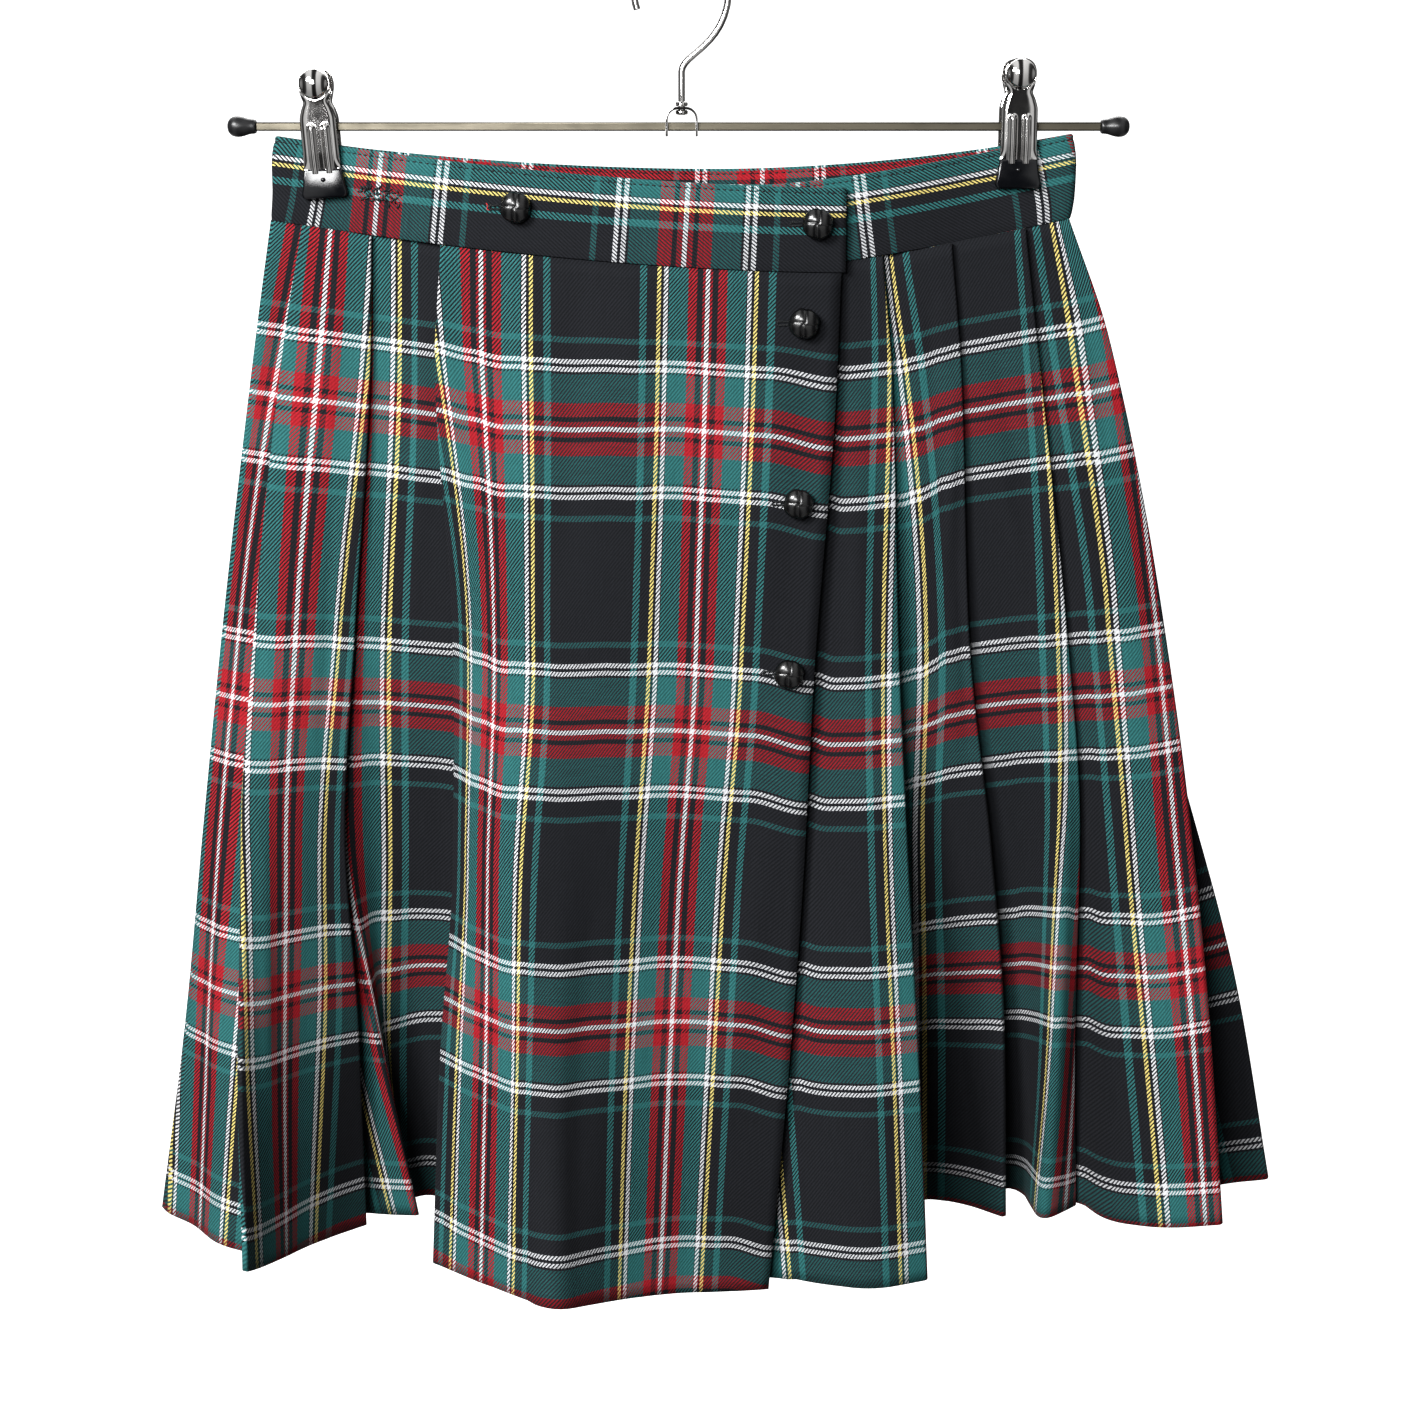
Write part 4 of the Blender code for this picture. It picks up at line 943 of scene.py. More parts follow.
# Painted light: how many times lighter a strand's colour is painted than the gap beside it
STRAND_PAINTED_LIGHT = 2.2
TOPSTITCH_START, TOPSTITCH_RADIUS = 2.0, 0.36


def thread_material(name, colour):
    """Thread with a painted highlight: its twisted strands are painted lighter than the gaps between them,
    as if catching the light, and stand out by a bump.
    """
    made, tree, shader = new_material(name)
    place = node(tree, "ShaderNodeTexCoord")
    inputs = {"Scale": 900.0, "Distortion": 1.5, "Vector": place.outputs["Object"]}
    strands = node(tree, "ShaderNodeTexWave", inputs, bands_direction="DIAGONAL").outputs["Fac"]
    # Painted light: each strand's colour is lit up, and the gaps keep the thread's own colour
    painted_light_and_shade = tuple(value * STRAND_PAINTED_LIGHT for value in colour)
    effect = {"Base Color": mix_colours(tree, strands, colour, painted_light_and_shade), "Roughness": 0.55}
    finish_surface(tree, shader, effect, strands, strength=0.6, depth=0.1)
    return made


dark_thread = thread_material("dark sewing thread", DARK_THREAD)
red_thread = thread_material("red sewing thread", RED_THREAD)


def stitches(name, places, length, radius, thread):
    """Short stitches in one piece: each a rounded bead of thread from its middle and direction."""
    one = bmesh.new()
    bmesh.ops.create_uvsphere(one, u_segments=6, v_segments=5, radius=1.0)
    smooth_shaded(one)
    bead = mesh_from("bead of thread", one)
    size = Matrix.Diagonal((length / 2 * MM, radius * MM, radius * MM, 1.0))
    bm = bmesh.new()
    for middle, along in places:
        laid = bead.copy()
        turn = along.to_track_quat("X", "Z").to_matrix().to_4x4()
        laid.transform(Matrix.Translation(middle * MM) @ turn @ size)
        bm.from_mesh(laid)
        bpy.data.meshes.remove(laid)
    return made_piece(name, bm, thread)


topstitch = []
stitch_height = BAND_HEIGHT - STITCH_BELOW_TOP
for side in (1, -1):
    next_stitch = TOPSTITCH_START
    for column in range(1, len(band_path) - 1):
        if band_lengths[column] < next_stitch:
            continue
        next_stitch = band_lengths[column] + STITCH_PITCH - BAND_STEP / 2
        before, here, after = (band_face(column + step, stitch_height, side) for step in (-1, 0, 1))
        topstitch.append((here, (after - before).normalized()))
stitches("waistband_topstitch", topstitch, STITCH_LENGTH, TOPSTITCH_RADIUS, dark_thread)


# The buttons: black leather cord plaited into a domed knot of four loops over a hard core. Each has
# a shank behind, sewn to the layer below and brought up through a buttonhole.

# Each one's x, the y of the cloth in front, z, and how far it leans with the cloth, in degrees
BUTTONS = {
    "button_band_left": (-77.5, -15.05, -118.0, 0.0),
    "button_band_right": (63.5, -16.5, -125.5, 0.0),
    "button_1": (57.5, -17.25, -171.5, 1.6),
    "button_2": (55.5, -19.35, -256.5, 1.1),
    "button_3": (51.5, -21.45, -339.0, 1.2),
}
BUTTON_RADIUS, BUTTON_HEIGHT = 7.2, 6.5
DOME_RINGS, DOME_SIDES = 34, 96
# The dome's profile runs this far round, in degrees, sinks in towards the shank by this share, and
# its widest ring lies this far in front of the cloth
DOME_ROUND, DOME_SINK, DOME_SEAT = 142, 0.2, 2.9
DOME_SWELL, DOME_LOW = 1.01, 2.3
SHANK_FOOT = 0.05
# The knot's turn in degrees, and how far it reaches over the rim
KNOT_TURN, KNOT_REACH = 16, 1.25
# In shares of the radius: the small square where the straps cross, and how they overlap and swell
KNOT_SQUARE, STRAP_STEP, STRAP_SLOPE = 0.05, 0.035, 0.15
CLEFT_DEPTH, CLEFT_WIDTH, SWELL_DEPTH, SWELL_WIDTH = 0.05, 0.035, 0.03, 0.15
# A hard surface's worn places are darkened by this shade. The gains say how strongly its grain
# shows as wear and as roughness.
WORN_SHADE, WEAR_GAIN, GRAIN_GAIN = (0.35, 0.35, 0.35), 2.0, 2.2


def grain_group():
    """A node group: a hard surface's fine grain and its slow changes, as colour, roughness and height."""
    tree, given = node_group(
        "surface grain",
        {"Color": "Color", "Stretch": "Vector", "Fine": "Float", "Wear": "Float", "Smooth": "Float",
         "Rough": "Float"},
        {"Color": "Color", "Roughness": "Float", "Height": "Float"},
    )
    place = node(tree, "ShaderNodeTexCoord").outputs["Object"]
    scaled = node(tree, "ShaderNodeVectorMath", {0: place, 1: given["Stretch"]}, operation="MULTIPLY")
    inputs = {"Detail": 5.0, "Vector": scaled.outputs[0], "Scale": given["Fine"]}
    fine = node(tree, "ShaderNodeTexNoise", inputs).outputs[0]
    broad = node(tree, "ShaderNodeTexNoise", {"Scale": 85.0, "Detail": 2.0, "Vector": place}).outputs[0]
    both = calculate(tree, "MULTIPLY", fine, broad)
    wear = calculate(tree, "MULTIPLY", given["Wear"], WEAR_GAIN)
    worn = calculate(tree, "MULTIPLY", both, wear, clamp=True)
    span = calculate(tree, "SUBTRACT", given["Rough"], given["Smooth"])
    rougher = calculate(tree, "MULTIPLY", both, GRAIN_GAIN, clamp=True)
    darker = mix_colours(tree, 1.0, given["Color"], WORN_SHADE, "MULTIPLY")
    node(tree, "NodeGroupOutput", {
        "Color": mix_colours(tree, worn, given["Color"], darker),
        "Roughness": calculate(tree, "MULTIPLY_ADD", span, rougher, given["Smooth"]),
        "Height": fine,
    })
    return tree


surface_grain = grain_group()


def grained(name, colour, smooth, rough, fine, wear, metallic=0.0, stretch=(1, 1, 1), dent=0.03):
    """A hard material: its colour, grain, roughness from smooth to rough, and the grain's depth in mm."""
    made, tree, shader = new_material(name)
    grain = node(tree, "ShaderNodeGroup", node_tree=surface_grain)
    feed(tree, grain, {
        "Color": colour, "Stretch": stretch, "Fine": fine, "Wear": wear, "Smooth": smooth, "Rough": rough,
    })
    effect = {"Base Color": grain.outputs["Color"], "Roughness": grain.outputs["Roughness"]}
    finish_surface(tree, shader, effect, grain.outputs["Height"], strength=0.5, depth=dent)
    feed(tree, shader, {"Metallic": metallic})
    return made


leather = grained(
    "black leather", (0.004, 0.004, 0.0045), smooth=0.16, rough=0.36, fine=900.0, wear=0.5
)
polish = leather.node_tree.nodes["Principled BSDF"]
feed(leather.node_tree, polish, {"Coat Weight": 0.35, "Coat Roughness": 0.12})


def knot_relief(x, y):
    """How far the plait stands off the dome at a place, in shares of the radius.

    Four fat straps lie round the middle like a pinwheel's blades, each over one neighbour and
    under the next.
    """
    for _ in range(4):
        if x >= KNOT_SQUARE and y >= -KNOT_SQUARE:
            break
        x, y = y, -x
    from_under = max(0.0, x - KNOT_SQUARE)
    from_over = max(0.0, y + KNOT_SQUARE)
    near = min(from_under, from_over)
    over = STRAP_STEP * (from_under - from_over) / (from_under + from_over + STRAP_SLOPE)
    cleft = CLEFT_DEPTH * math.exp(-near / CLEFT_WIDTH)
    return over - cleft - SWELL_DEPTH * math.exp(-((near / SWELL_WIDTH) ** 2))


def dome_ring(step):
    """One ring of the button, from the middle of its front over the rim to the shank."""
    share = step / DOME_RINGS
    tilt = math.radians(DOME_ROUND * share)
    rise = math.cos(tilt)
    ring = []
    for side in range(DOME_SIDES):
        turn = math.tau * side / DOME_SIDES + math.radians(KNOT_TURN)
        x, y = share * KNOT_REACH * math.cos(turn), share * KNOT_REACH * math.sin(turn)
        swell = (DOME_SWELL + knot_relief(x, y)) * (1.0 + min(0.0, rise) * DOME_SINK)
        out = swell * BUTTON_RADIUS * math.sin(tilt)
        height = swell * (BUTTON_HEIGHT - DOME_LOW) * rise + DOME_SEAT
        ring.append(Vector((out * math.cos(turn), out * math.sin(turn), max(SHANK_FOOT, height))))
    return ring


def set_in_place(bm, matrix):
    """Close a turned shape's seams and poles, face it outwards and move it to its place."""
    bmesh.ops.remove_doubles(bm, verts=bm.verts, dist=1e-6)
    bmesh.ops.recalc_face_normals(bm, faces=bm.faces)
    bmesh.ops.transform(bm, matrix=matrix, verts=bm.verts)
    return bm


for button, (x, front_y, z, lean) in BUTTONS.items():
    seat = Matrix.Translation(Vector((x, front_y - SEAM_GAP, z)) * MM)
    seat = seat @ Matrix.Rotation(math.radians(90 - lean), 4, "X")
    dome = grown([dome_ring(step) for step in range(DOME_RINGS + 1)], closed=True, capped=True)
    made_piece(f"{button}_knot", set_in_place(dome, seat), leather, (button,))


# The hand sewing in front: a worked buttonhole left of each button, close purl stitches round a
# slit, the black stitches that hold the band's inside near the left clip, and a red thread end left
# beside the button there. They lie on the cloth's outer face, found by looking from the front.

LOOK_FROM_Y = -0.3
THREAD_LIFT, RED_LIFT = 0.12, 0.15
HOLE_END, HOLE_START, HOLE_HALF, HOLE_ROUND = -11.4, -5.2, 0.8, 1.1
PURL_PITCH, PURL_LENGTH, PURL_RADIUS, PURL_LEAN = 0.62, 1.5, 0.30, 0.12
# The purls round a buttonhole's end: the first one's turn in degrees, and from one to the next
PURL_FIRST_TURN, PURL_TURN, PURLS_ROUND = 110, 35, 5
# The tacking is short and uneven: its stitches rise, spread and turn by these uneven steps
TACK_MIDDLE, TACK_HALF, TACK_STITCHES, TACK_SLOPE = (-142.0, -112.4), (9.4, 3.0), 34, 1.6
TACK_RISE, TACK_SPREAD, TACK_TURN = 2.3, 0.9, 1.9
# What share their rise varies by, and how high their turns go against how wide
TACK_VARIES, TACK_STEEP = 0.3, 0.8
TACK_LENGTH, TACK_RADIUS = 3.2, 0.5
THREAD_END = ((-91.4, -116.0), (-90.6, -117.2), (-91.2, -118.6), (-90.0, -119.4))
END_LENGTH, END_RADIUS = 1.9, 0.3

graph = bpy.context.evaluated_depsgraph_get()
fronts = [BVHTree.FromObject(piece, graph) for piece in (skirt_pieces["over_apron"], waistband)]


def on_cloth(x, z, lift=THREAD_LIFT):
    """A place just in front of the front-most cloth at x and z."""
    hits = [tree.ray_cast(Vector((x * MM, LOOK_FROM_Y, z * MM)), Vector((0, 1, 0))) for tree in fronts]
    found = [hit[0] for hit in hits if hit[0] is not None]
    return min(found, key=lambda place: place.y) / MM - Vector((0, lift, 0))


purls = []
for x, _, z, _ in BUTTONS.values():
    purl_gaps = round((HOLE_START - HOLE_END) / PURL_PITCH)
    for step in range(purl_gaps + 1):
        here = x + HOLE_END + (HOLE_START - HOLE_END) * step / purl_gaps
        for side in (-1, 1):
            purls.append((on_cloth(here, z + side * HOLE_HALF), Vector((PURL_LEAN, 0, 1)).normalized()))
    for step in range(PURLS_ROUND):
        turn = math.radians(PURL_FIRST_TURN + PURL_TURN * step)
        aside = Vector((math.cos(turn), 0, math.sin(turn)))
        purls.append((on_cloth(x + HOLE_END + aside.x * HOLE_ROUND, z + aside.z * HOLE_ROUND), aside))
stitches("buttonholes", purls, PURL_LENGTH, PURL_RADIUS, dark_thread)

tacks = []
for step in range(TACK_STITCHES):
    across = -1 + 2 * step / (TACK_STITCHES - 1)
    rise = math.sin(step * TACK_RISE) * (1.0 - TACK_VARIES * math.cos(step * TACK_SPREAD))
    x = TACK_MIDDLE[0] + across * TACK_HALF[0]
    z = TACK_MIDDLE[1] + rise * TACK_HALF[1] - across * TACK_SLOPE
    direction = Vector((math.cos(step * TACK_TURN), 0, math.sin(step * TACK_TURN) * TACK_STEEP))
    tacks.append((on_cloth(x, z), direction.normalized()))
stitches("waistband_tack", tacks, TACK_LENGTH, TACK_RADIUS, dark_thread)
red_end = []
for (x, z), (x_after, z_after) in zip(THREAD_END, THREAD_END[1:]):
    middle = on_cloth((x + x_after) / 2, (z + z_after) / 2, RED_LIFT)
    red_end.append((middle, Vector((x_after - x, 0, z_after - z)).normalized()))
stitches("red_thread_end", red_end, END_LENGTH, END_RADIUS, red_thread)


# The hanger's bar: square steel tube in a satin olive-grey finish, with a black rubber cap pushed
# on each end.

BAR_SIDE, BAR_LENGTH, BAR_MIDDLE_X, BAR_TOP_Z = 4.0, 396.0, -1.5, -79.0
BAR_MIDDLE_Z = BAR_TOP_Z - BAR_SIDE / 2
BAR_CORNER, NARROW_FACE = 0.6, 1.0
CAP_STEPS = 24
# Radius and distance out from the bar's end
CAP_PROFILE = (
    (0.0, 0.3), (3.0, 0.3), (3.4, 1.2), (3.3, 3.4), (4.4, 6.0), (5.0, 9.0), (4.6, 11.8), (2.8, 13.6),
    (0.0, 14.2),
)
satin_steel = grained(
    "satin olive steel", (0.13, 0.118, 0.092), smooth=0.25, rough=0.5, fine=420.0, wear=0.5,
    metallic=0.9, stretch=(0.06, 1, 1),
)
rubber = grained("black rubber", (0.014, 0.014, 0.015), smooth=0.22, rough=0.45, fine=600.0, wear=0.3)

bm = bmesh.new()
bmesh.ops.create_cube(bm, size=1.0)
bmesh.ops.scale(bm, vec=(BAR_LENGTH * MM, BAR_SIDE * MM, BAR_SIDE * MM), verts=bm.verts)
long_edges = [edge for edge in bm.edges if abs(edge.verts[0].co.x - edge.verts[1].co.x) > MM]
bmesh.ops.bevel(
    bm, geom=long_edges, offset=BAR_CORNER * MM, segments=3, profile=0.5, affect="EDGES", material=-1
)
bmesh.ops.translate(bm, vec=(BAR_MIDDLE_X * MM, 0, BAR_MIDDLE_Z * MM), verts=bm.verts)
# The bar's flat sides stay flat between its rounded corners
for face in bm.faces:
    face.smooth = face.calc_area() < BAR_LENGTH * NARROW_FACE * MM * MM
made_piece("bar_tube", bm, satin_steel, ("hanger_bar",))


def spun(profile, steps, matrix):
    """A profile of (radius, length) in mm, spun round its length and set in place."""
    bm = bmesh.new()
    verts = [bm.verts.new((radius * MM, 0, length * MM)) for radius, length in profile]
    edges = [bm.edges.new(pair) for pair in zip(verts, verts[1:])]
    bmesh.ops.spin(
        bm, geom=verts + edges, cent=(0, 0, 0), axis=(0, 0, 1), angle=math.tau, steps=steps, use_merge=True
    )
    set_in_place(bm, matrix)
    smooth_shaded(bm)
    return bm


for side, sign in (("left", -1), ("right", 1)):
    end = Matrix.Translation(((BAR_MIDDLE_X + sign * BAR_LENGTH / 2) * MM, 0, BAR_MIDDLE_Z * MM))
    turn = Matrix.Rotation(math.radians(90 * sign), 4, "Y")
    shape = spun(CAP_PROFILE, CAP_STEPS, end @ turn)
    cap = made_piece(f"cap_{side}", shape, rubber, (f"hanger_cap_{side}",))
    rounding = cap.modifiers.new("rounding", "SUBSURF")
    rounding.levels = 1
    rounding.render_levels = 1


# The arch and the hook: a strip of chromed sheet bent over the bar, and a chromed wire that comes
# up through it, riveted between two collars, and bends over to the hook.

BRACKET_HALF, BRACKET_SHEET, BRACKET_DEPTH = 7.6, 1.1, 8.0
BRACKET_TOP_Z, BRACKET_FOOT_Z = -72.0, -85.5
ARCH_CORNER, SHEET_EDGE = 5.0, 0.25
STEM_HOLE = 1.95
# Each hole takes out the faces whose middles are this near its own
STEM_NEAR, BAR_NEAR = 0.5, 1.0
WIRE_RADIUS, HOOK_RADIUS, HOOK_SWEEP = 1.65, 22.0, 200.0
HOOK_CENTRE_Z = WIRE_RADIUS - HOOK_RADIUS
STEM_TOP_Z, NECK_STEPS, HOOK_STEPS = -56.0, 12, 30
# The wire's way from the stem's top out to the hook, as x and z of a curve's four points
NECK = ((0.0, STEM_TOP_Z), (0.2, -47.5), (20.5, -45.0), (HOOK_RADIUS, HOOK_CENTRE_Z))
WIRE_PAST_RIVET = 0.2
COLLAR_RADIUS, COLLAR_HEIGHT, COLLAR_STEPS = 2.9, 2.1, 32
# How much its foot's and its top's rims are cut back
COLLAR_FOOT_CUT, COLLAR_TOP_CUT = 0.4, 0.5
chrome = grained(
    "polished chrome", (0.60, 0.59, 0.58), smooth=0.03, rough=0.12, fine=300.0, wear=0.25,
    metallic=1.0, dent=0.01,
)

arch_half = BRACKET_HALF - BRACKET_SHEET / 2
arch_top = BRACKET_TOP_Z - BRACKET_SHEET / 2
bar_hole = BAR_SIDE / 2 + SEAM_GAP
right_half = [(arch_half, z) for z in (BRACKET_FOOT_Z, BAR_MIDDLE_Z - bar_hole, BAR_MIDDLE_Z + bar_hole)]
for degrees in range(0, 91, 15):
    turn = math.radians(degrees)
    x = arch_half - ARCH_CORNER + ARCH_CORNER * math.cos(turn)
    right_half.append((x, arch_top - ARCH_CORNER + ARCH_CORNER * math.sin(turn)))
right_half.append((STEM_HOLE, arch_top))
arch_path = right_half + [(-x, z) for x, z in reversed(right_half)]
half_depths = (STEM_HOLE, bar_hole, BRACKET_DEPTH / 2)
arch_depths = [-y for y in reversed(half_depths)] + list(half_depths)
bm = grown([[Vector((x, y, z)) for y in arch_depths] for x, z in arch_path])


def is_hole(face):
    """Whether the stem or the bar comes through the sheet at a face."""
    middle = face.calc_center_median() / MM
    at_stem = abs(middle.y) < STEM_NEAR and abs(middle.x) < STEM_NEAR
    return at_stem or abs(middle.y) < bar_hole and abs(middle.z - BAR_MIDDLE_Z) < BAR_NEAR


def blunt_edges(piece, width):
    bevel = piece.modifiers.new("edges", "BEVEL")
    bevel.width, bevel.segments, bevel.limit_method = width * MM, 2, "ANGLE"


bmesh.ops.delete(bm, geom=[face for face in bm.faces if is_hole(face)], context="FACES")
bmesh.ops.recalc_face_normals(bm, faces=bm.faces)
arch = made_piece("arch", bm, chrome, ("hanger_bracket",))
thicken(arch, BRACKET_SHEET)
blunt_edges(arch, SHEET_EDGE)

rivet_foot = BRACKET_TOP_Z - BRACKET_SHEET - SEAM_GAP - COLLAR_HEIGHT
wire_foot = rivet_foot - WIRE_PAST_RIVET
route = [Vector((0, 0, z)) for z in (wire_foot, (wire_foot + STEM_TOP_Z) / 2, STEM_TOP_Z)]
neck = [Vector((x, 0, z)) for x, z in NECK]
for step in range(1, NECK_STEPS + 1):
    t = step / NECK_STEPS
    weights = ((1 - t) ** 3, 3 * t * (1 - t) ** 2, 3 * t**2 * (1 - t), t**3)
    route.append(sum((place * weight for place, weight in zip(neck, weights)), Vector()))
for step in range(1, HOOK_STEPS + 1):
    angle = math.radians(step * HOOK_SWEEP / HOOK_STEPS)
    route.append(Vector((HOOK_RADIUS * math.cos(angle), 0, HOOK_CENTRE_Z + HOOK_RADIUS * math.sin(angle))))
wire = bpy.data.curves.new("hook", "CURVE")
wire.dimensions = "3D"
wire.bevel_depth = WIRE_RADIUS * MM
wire.bevel_resolution = 5
wire.use_fill_caps = True
spline = wire.splines.new("POLY")
spline.points.add(len(route) - 1)
for point, place in zip(spline.points, route):
    point.co = (*(place * MM), 1)
spline.use_smooth = True
as_piece(in_scene("hook", wire, chrome), ("hanger_hook",))
collar_profile = (
    (0.0, 0.0), (COLLAR_RADIUS - COLLAR_FOOT_CUT, 0.0), (COLLAR_RADIUS, COLLAR_FOOT_CUT),
    (COLLAR_RADIUS, COLLAR_HEIGHT - COLLAR_TOP_CUT), (COLLAR_RADIUS - COLLAR_TOP_CUT, COLLAR_HEIGHT),
    (0.0, COLLAR_HEIGHT),
)
for name, foot in (("collar", BRACKET_TOP_Z + SEAM_GAP), ("rivet_head", rivet_foot)):
    shape = spun(collar_profile, COLLAR_STEPS, Matrix.Translation((0, 0, foot * MM)))
    made_piece(name, shape, chrome)


# The clips: on each side of the bar a plate pressed from chromed sheet, with a domed thumb head,
# a narrow waist and two raised ribs, and a black vinyl pad at its foot that grips the waistband.

CLIP_X = {"left": -170.0, "right": 158.0}
CLIP_DROP = {"left": 0.0, "right": 4.5}
# How far each clip's foot swings to the right, in degrees, and where it turns
CLIP_LEAN = {"left": 3.9, "right": 0.0}
CLIP_TURN_X = -169.2
PLATE_SHEET, PLATE_EDGE, JAW_FACE, PAD_FOOT_Z = 1.2, 0.3, 3.15, -114.0
# Height above the pad's foot, half width and distance of the plate's inner face from the middle
PLATE_ROWS = (
    (11.5, 8.3, 5.05), (13.5, 8.4, 5.1), (16.5, 8.2, 5.5), (21.0, 8.1, 6.05), (36.0, 8.0, 6.1),
    (40.5, 6.9, 6.15), (44.2, 5.5, 6.25), (47.0, 6.2, 6.4), (50.0, 7.2, 6.5), (52.5, 7.4, 6.5),
    (55.5, 6.9, 6.5), (57.6, 5.6, 6.5), (59.0, 3.6, 6.5), (59.6, 1.6, 6.5),
)
PLATE_STEPS, PLATE_COLUMNS = 96, 57
RIB_X, RIB_WIDTH, RIB_DEPTH, RIB_TOP = 3.3, 2.3, 1.5, 34.5
HEAD_HEIGHT, HEAD_RADIUS, HEAD_DOME = 52.4, 6.5, 4.4
# The plate's sides turn in between these heights, and how soon they do so, along it and across
TURN_IN, TURN_IN_FOOT, TURN_IN_TOP, TURN_IN_POWER = 1.5, (13.0, 5.0), (49.0, 4.0), 8
# The vinyl boot's outline, how far it stands out over the plate's foot, and its rim and small nub
BOOT_HALF = ((8.8, 0.0), (10.3, 0.8), (10.9, 2.4), (9.9, 6.5), (8.7, 13.5))
BOOT_FACE, BOOT_RIM = 7.0, 1.1
NUB_HEIGHT, NUB_SIZE = 8.6, (1.2, 0.8, 1.0)
plate_heights, plate_halves, plate_outs = zip(*PLATE_ROWS)
vinyl = grained(
    "black vinyl", (0.004, 0.0045, 0.006), smooth=0.06, rough=0.2, fine=260.0, wear=0.3, dent=0.04
)


def plate_point(share, height):
    """The plate's inner face: half width, ribs, dome and turned-in sides at one height."""
    x = share * through(plate_halves, plate_heights, height)
    from_rib = math.hypot(abs(x) - RIB_X, max(0.0, height - (RIB_TOP - RIB_WIDTH)))
    rib = RIB_DEPTH * (0.5 + 0.5 * math.cos(math.pi * min(1.0, from_rib / RIB_WIDTH)))
    from_middle = (x * x + (height - HEAD_HEIGHT) ** 2) / HEAD_RADIUS**2
    dome = HEAD_DOME * math.sqrt(max(0.0, 1 - from_middle))
    from_foot = (height - TURN_IN_FOOT[0]) / TURN_IN_FOOT[1]
    from_top = (TURN_IN_TOP[0] - height) / TURN_IN_TOP[1]
    turn_in = TURN_IN * share**TURN_IN_POWER * within(min(from_foot, from_top))
    return x, through(plate_outs, plate_heights, height) + rib + dome - turn_in


def pressed_plate(centre_x, foot_z, sign):
    rows = []
    for step in range(PLATE_STEPS + 1):
        height = plate_heights[0] + (plate_heights[-1] - plate_heights[0]) * step / PLATE_STEPS
        row = []
        for column in range(PLATE_COLUMNS):
            x, out = plate_point(-1 + 2 * column / (PLATE_COLUMNS - 1), height)
            row.append(Vector((centre_x + x, sign * (out + PLATE_SHEET / 2), foot_z + height)))
        rows.append(row)
    return grown(rows)


def vinyl_boot(centre_x, foot_z, sign):
    """The boot over the plate's foot: its outline pulled out from the jaw, with rounded rims."""
    near, far = sign * JAW_FACE, sign * BOOT_FACE
    outline = [(-x, z) for x, z in reversed(BOOT_HALF)] + list(BOOT_HALF)
    bm = bmesh.new()
    flat = bm.faces.new([bm.verts.new(Vector((centre_x + x, near, foot_z + z)) * MM) for x, z in outline])
    moved = fresh(bmesh.ops.extrude_face_region(bm, geom=[flat]), bmesh.types.BMVert)
    bmesh.ops.translate(bm, vec=(0, (far - near) * MM, 0), verts=moved)
    bmesh.ops.recalc_face_normals(bm, faces=bm.faces)
    rims = [edge for edge in bm.edges if abs(edge.verts[0].co.y - edge.verts[1].co.y) < MM * 0.1]
    bmesh.ops.bevel(
        bm, geom=rims, offset=BOOT_RIM * MM, segments=4, profile=0.5, affect="EDGES", material=-1
    )
    nub = Matrix.Translation(Vector((centre_x, far, foot_z + NUB_HEIGHT)) * MM)
    nub = nub @ Matrix.Diagonal((*(Vector(NUB_SIZE) * MM), 1.0))
    bmesh.ops.create_uvsphere(bm, u_segments=16, v_segments=8, radius=1.0, matrix=nub)
    smooth_shaded(bm)
    return bm


for side, centre_x in CLIP_X.items():
    foot_z = PAD_FOOT_Z + CLIP_DROP[side]
    pivot = Matrix.Translation(Vector((CLIP_TURN_X, 0, BAR_MIDDLE_Z)) * MM)
    lean = pivot @ Matrix.Rotation(math.radians(-CLIP_LEAN[side]), 4, "Y") @ pivot.inverted()
    for face, sign in (("front", -1), ("back", 1)):
        clip = f"clip_{side}_{face}"
        plate = pressed_plate(centre_x, foot_z, sign)
        bmesh.ops.transform(plate, matrix=lean, verts=plate.verts)
        sheet = made_piece(f"{clip}_sheet", plate, chrome, (f"{clip}_plate",))
        thicken(sheet, PLATE_SHEET)
        blunt_edges(sheet, PLATE_EDGE)
        boot = vinyl_boot(centre_x, foot_z, sign)
        bmesh.ops.transform(boot, matrix=lean, verts=boot.verts)
        made_piece(f"{clip}_grip", boot, vinyl, (f"{clip}_pad",))
    for slot in bpy.data.objects[f"clip_{side}_sleeve"].material_slots:
        slot.material = chrome


# The stage: a pale studio floor that curves up behind, two soft lamps in front, left of the middle,
# and one behind and above, and the camera at the photograph's angle.

FLOOR_Z, WALL_Y, WALL_TOP = -1700.0, 2600.0, 6000.0
FLOOR_FRONT_Y, FLOOR_HALF, FLOOR_BEND = -4000.0, 6000.0, 1000.0
# What mirrors the room sees tall pale windows beside a dark middle: place and brightness
WINDOWS = ((0.0, 0.03), (0.15, 0.05), (0.25, 0.85), (0.6, 0.75), (0.72, 0.08), (0.9, 0.04), (1.0, 0.4))
# The room's light rises from a least value at the floor, for cloth and for what mirrors it
ROOM_LEAST, ROOM_RISE = 0.01, 0.14
MIRRORED_LEAST, MIRRORED_RISE = 0.5, 0.9
# Each lamp's place, what it faces, its width and height, and its power in watts
LAMPS = {
    "key": ((-1200, -1600, 800), (0, 0, -300), (700, 700), 60.0),
    "fill": ((-500, -2000, 300), (0, 0, -350), (600, 600), 27.0),
    "back": ((0, 1400, 1200), (0, 0, -300), (1600, 800), 20.0),
}
# How far the camera is from its picture, and the picture's side, in pixels of the photograph
LENS_PIXELS, PICTURE_PIXELS, SENSOR = 2487.0, 1406.0, 36.0
CAMERA_PLACE, CAMERA_DOWN = (10.0, -1200.0, -92.5), 12.5

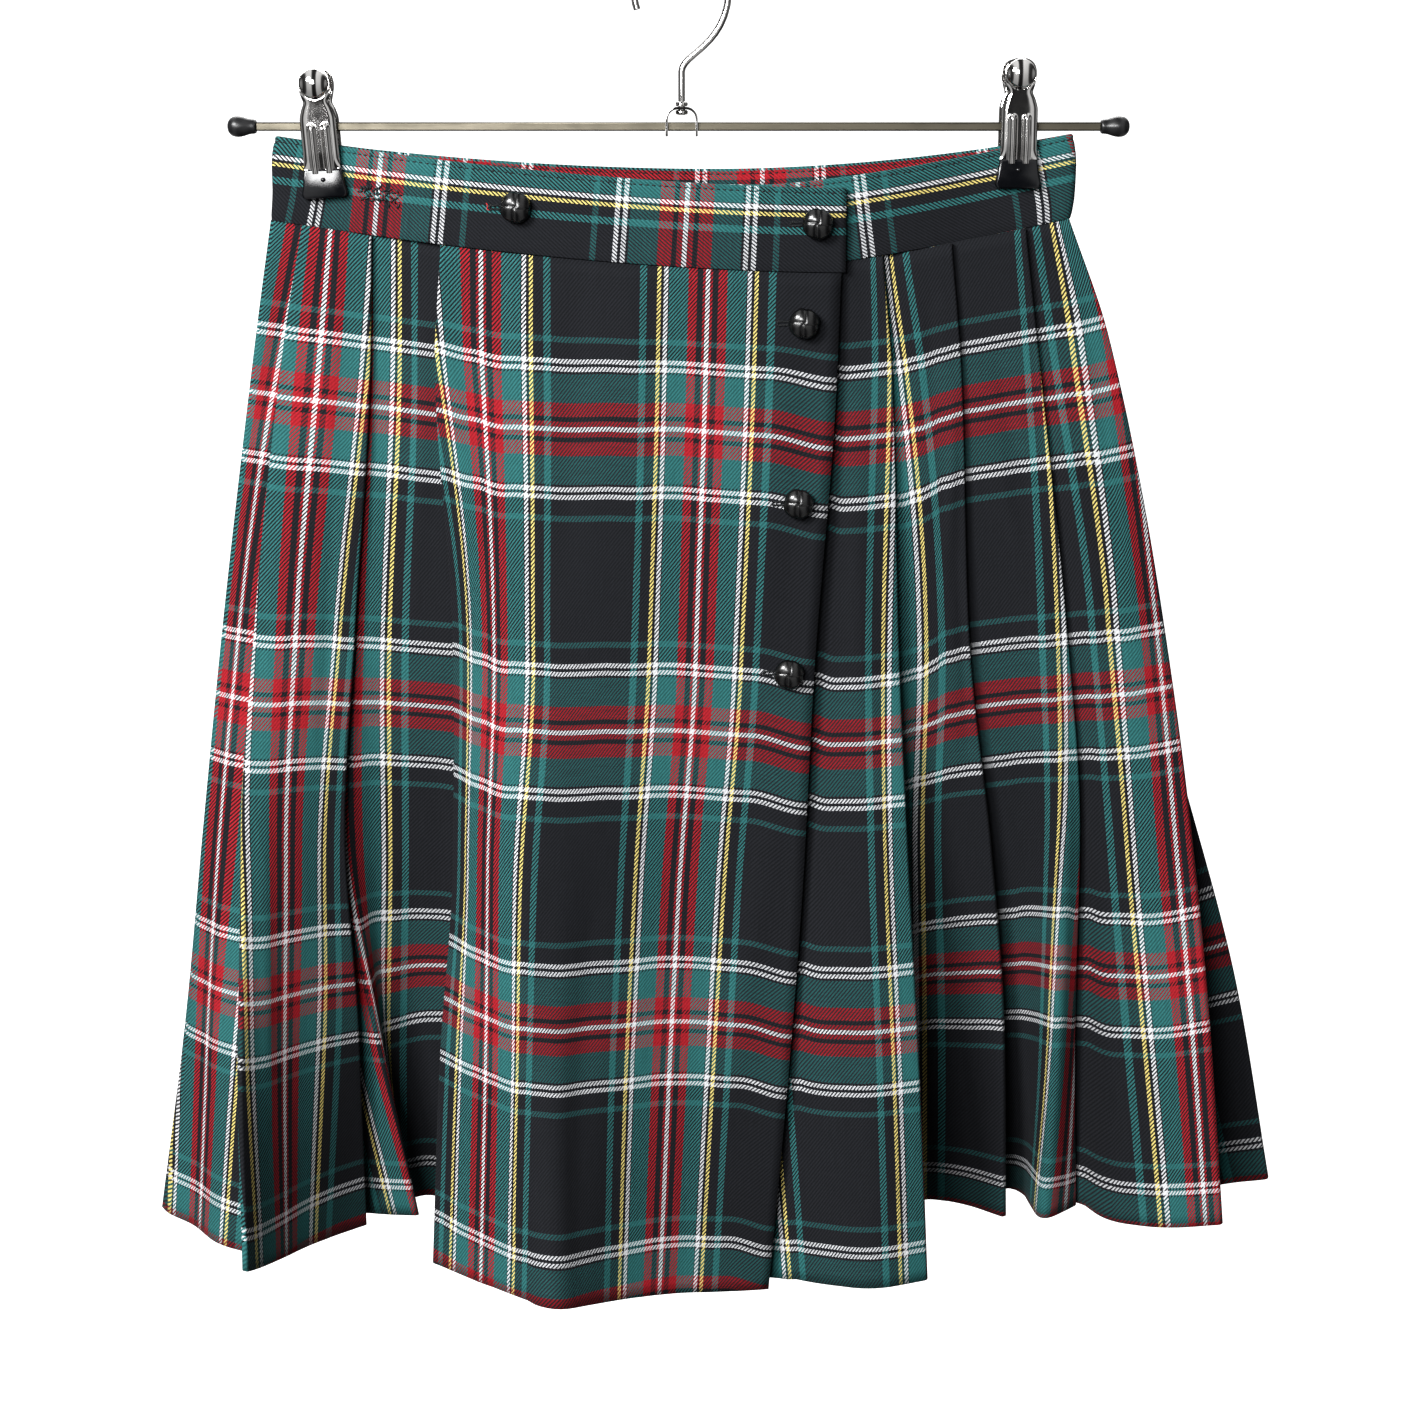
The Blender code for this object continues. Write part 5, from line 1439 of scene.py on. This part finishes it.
paper, tree, shader = new_material("pale studio paper")
feed(tree, shader, {
    "Base Color": (0.92, 0.92, 0.92), "Roughness": 0.9,
    "Emission Color": (1.0, 1.0, 1.0), "Emission Strength": 0.75,
})
sweep = [(FLOOR_FRONT_Y, FLOOR_Z), (WALL_Y - FLOOR_BEND, FLOOR_Z)]
for degrees in range(15, 91, 15):
    turn = math.radians(degrees)
    y = WALL_Y - FLOOR_BEND + FLOOR_BEND * math.sin(turn)
    sweep.append((y, FLOOR_Z + FLOOR_BEND - FLOOR_BEND * math.cos(turn)))
sweep.append((WALL_Y, WALL_TOP))
bm = grown([[Vector((x, y, z)) for x in (-FLOOR_HALF, FLOOR_HALF)] for y, z in sweep])
bmesh.ops.recalc_face_normals(bm, faces=bm.faces)
studio_paper = in_scene("studio_paper", mesh_from("studio_paper", bm), paper)
studio_paper.visible_diffuse = False
studio_paper.visible_glossy = False

# The room round it: white to look at, an even light for the cloth, and windows for what mirrors it
world = bpy.data.worlds.new("studio")
bpy.context.scene.world = world
world.use_nodes = True
tree = world.node_tree
direction = node(tree, "ShaderNodeTexCoord").outputs["Generated"]
split = node(tree, "ShaderNodeSeparateXYZ", {0: direction}).outputs
windows = node(tree, "ShaderNodeValToRGB", {0: calculate(tree, "ABSOLUTE", split[0])})
stops = windows.color_ramp.elements
while len(stops) < len(WINDOWS):
    stops.new(0.5)
for stop, (place, value) in zip(stops, WINDOWS):
    stop.position = place
    stop.color = (value, value, value, 1.0)
height = calculate(tree, "MULTIPLY_ADD", split[2], 0.5, 0.5, clamp=True)
even = calculate(tree, "MULTIPLY_ADD", height, ROOM_RISE, ROOM_LEAST)
mirrored = calculate(tree, "MULTIPLY_ADD", height, MIRRORED_RISE, MIRRORED_LEAST)
mirrored = calculate(tree, "MULTIPLY", windows.outputs[0], mirrored)
rays = node(tree, "ShaderNodeLightPath").outputs
more = calculate(tree, "SUBTRACT", mirrored, even)
room = calculate(tree, "MULTIPLY_ADD", rays["Is Glossy Ray"], more, even)
room = calculate(tree, "MAXIMUM", room, rays["Is Camera Ray"])
feed(tree, tree.nodes["Background"], {"Strength": room, "Color": (1.0, 1.0, 1.0)})

for name, (place, target, size, power) in LAMPS.items():
    light = bpy.data.lights.new(name, "AREA")
    light.shape = "RECTANGLE"
    light.size, light.size_y = Vector(size) * MM
    light.energy = power
    lamp = bpy.data.objects.new(name, light)
    lamp.location = Vector(place) * MM
    lamp.rotation_euler = (Vector(target) - Vector(place)).to_track_quat("-Z", "Y").to_euler()
    bpy.context.scene.collection.objects.link(lamp)

lens = bpy.data.cameras.new("camera")
lens.sensor_width = SENSOR
lens.lens = SENSOR * LENS_PIXELS / PICTURE_PIXELS
camera = bpy.data.objects.new("camera", lens)
camera.location = Vector(CAMERA_PLACE) * MM
camera.rotation_euler = (math.radians(90.0 - CAMERA_DOWN), 0.0, 0.0)
bpy.context.scene.collection.objects.link(camera)
bpy.context.scene.camera = camera
bpy.context.scene.view_settings.view_transform = "Standard"
bpy.context.scene.view_settings.look = "Medium High Contrast"
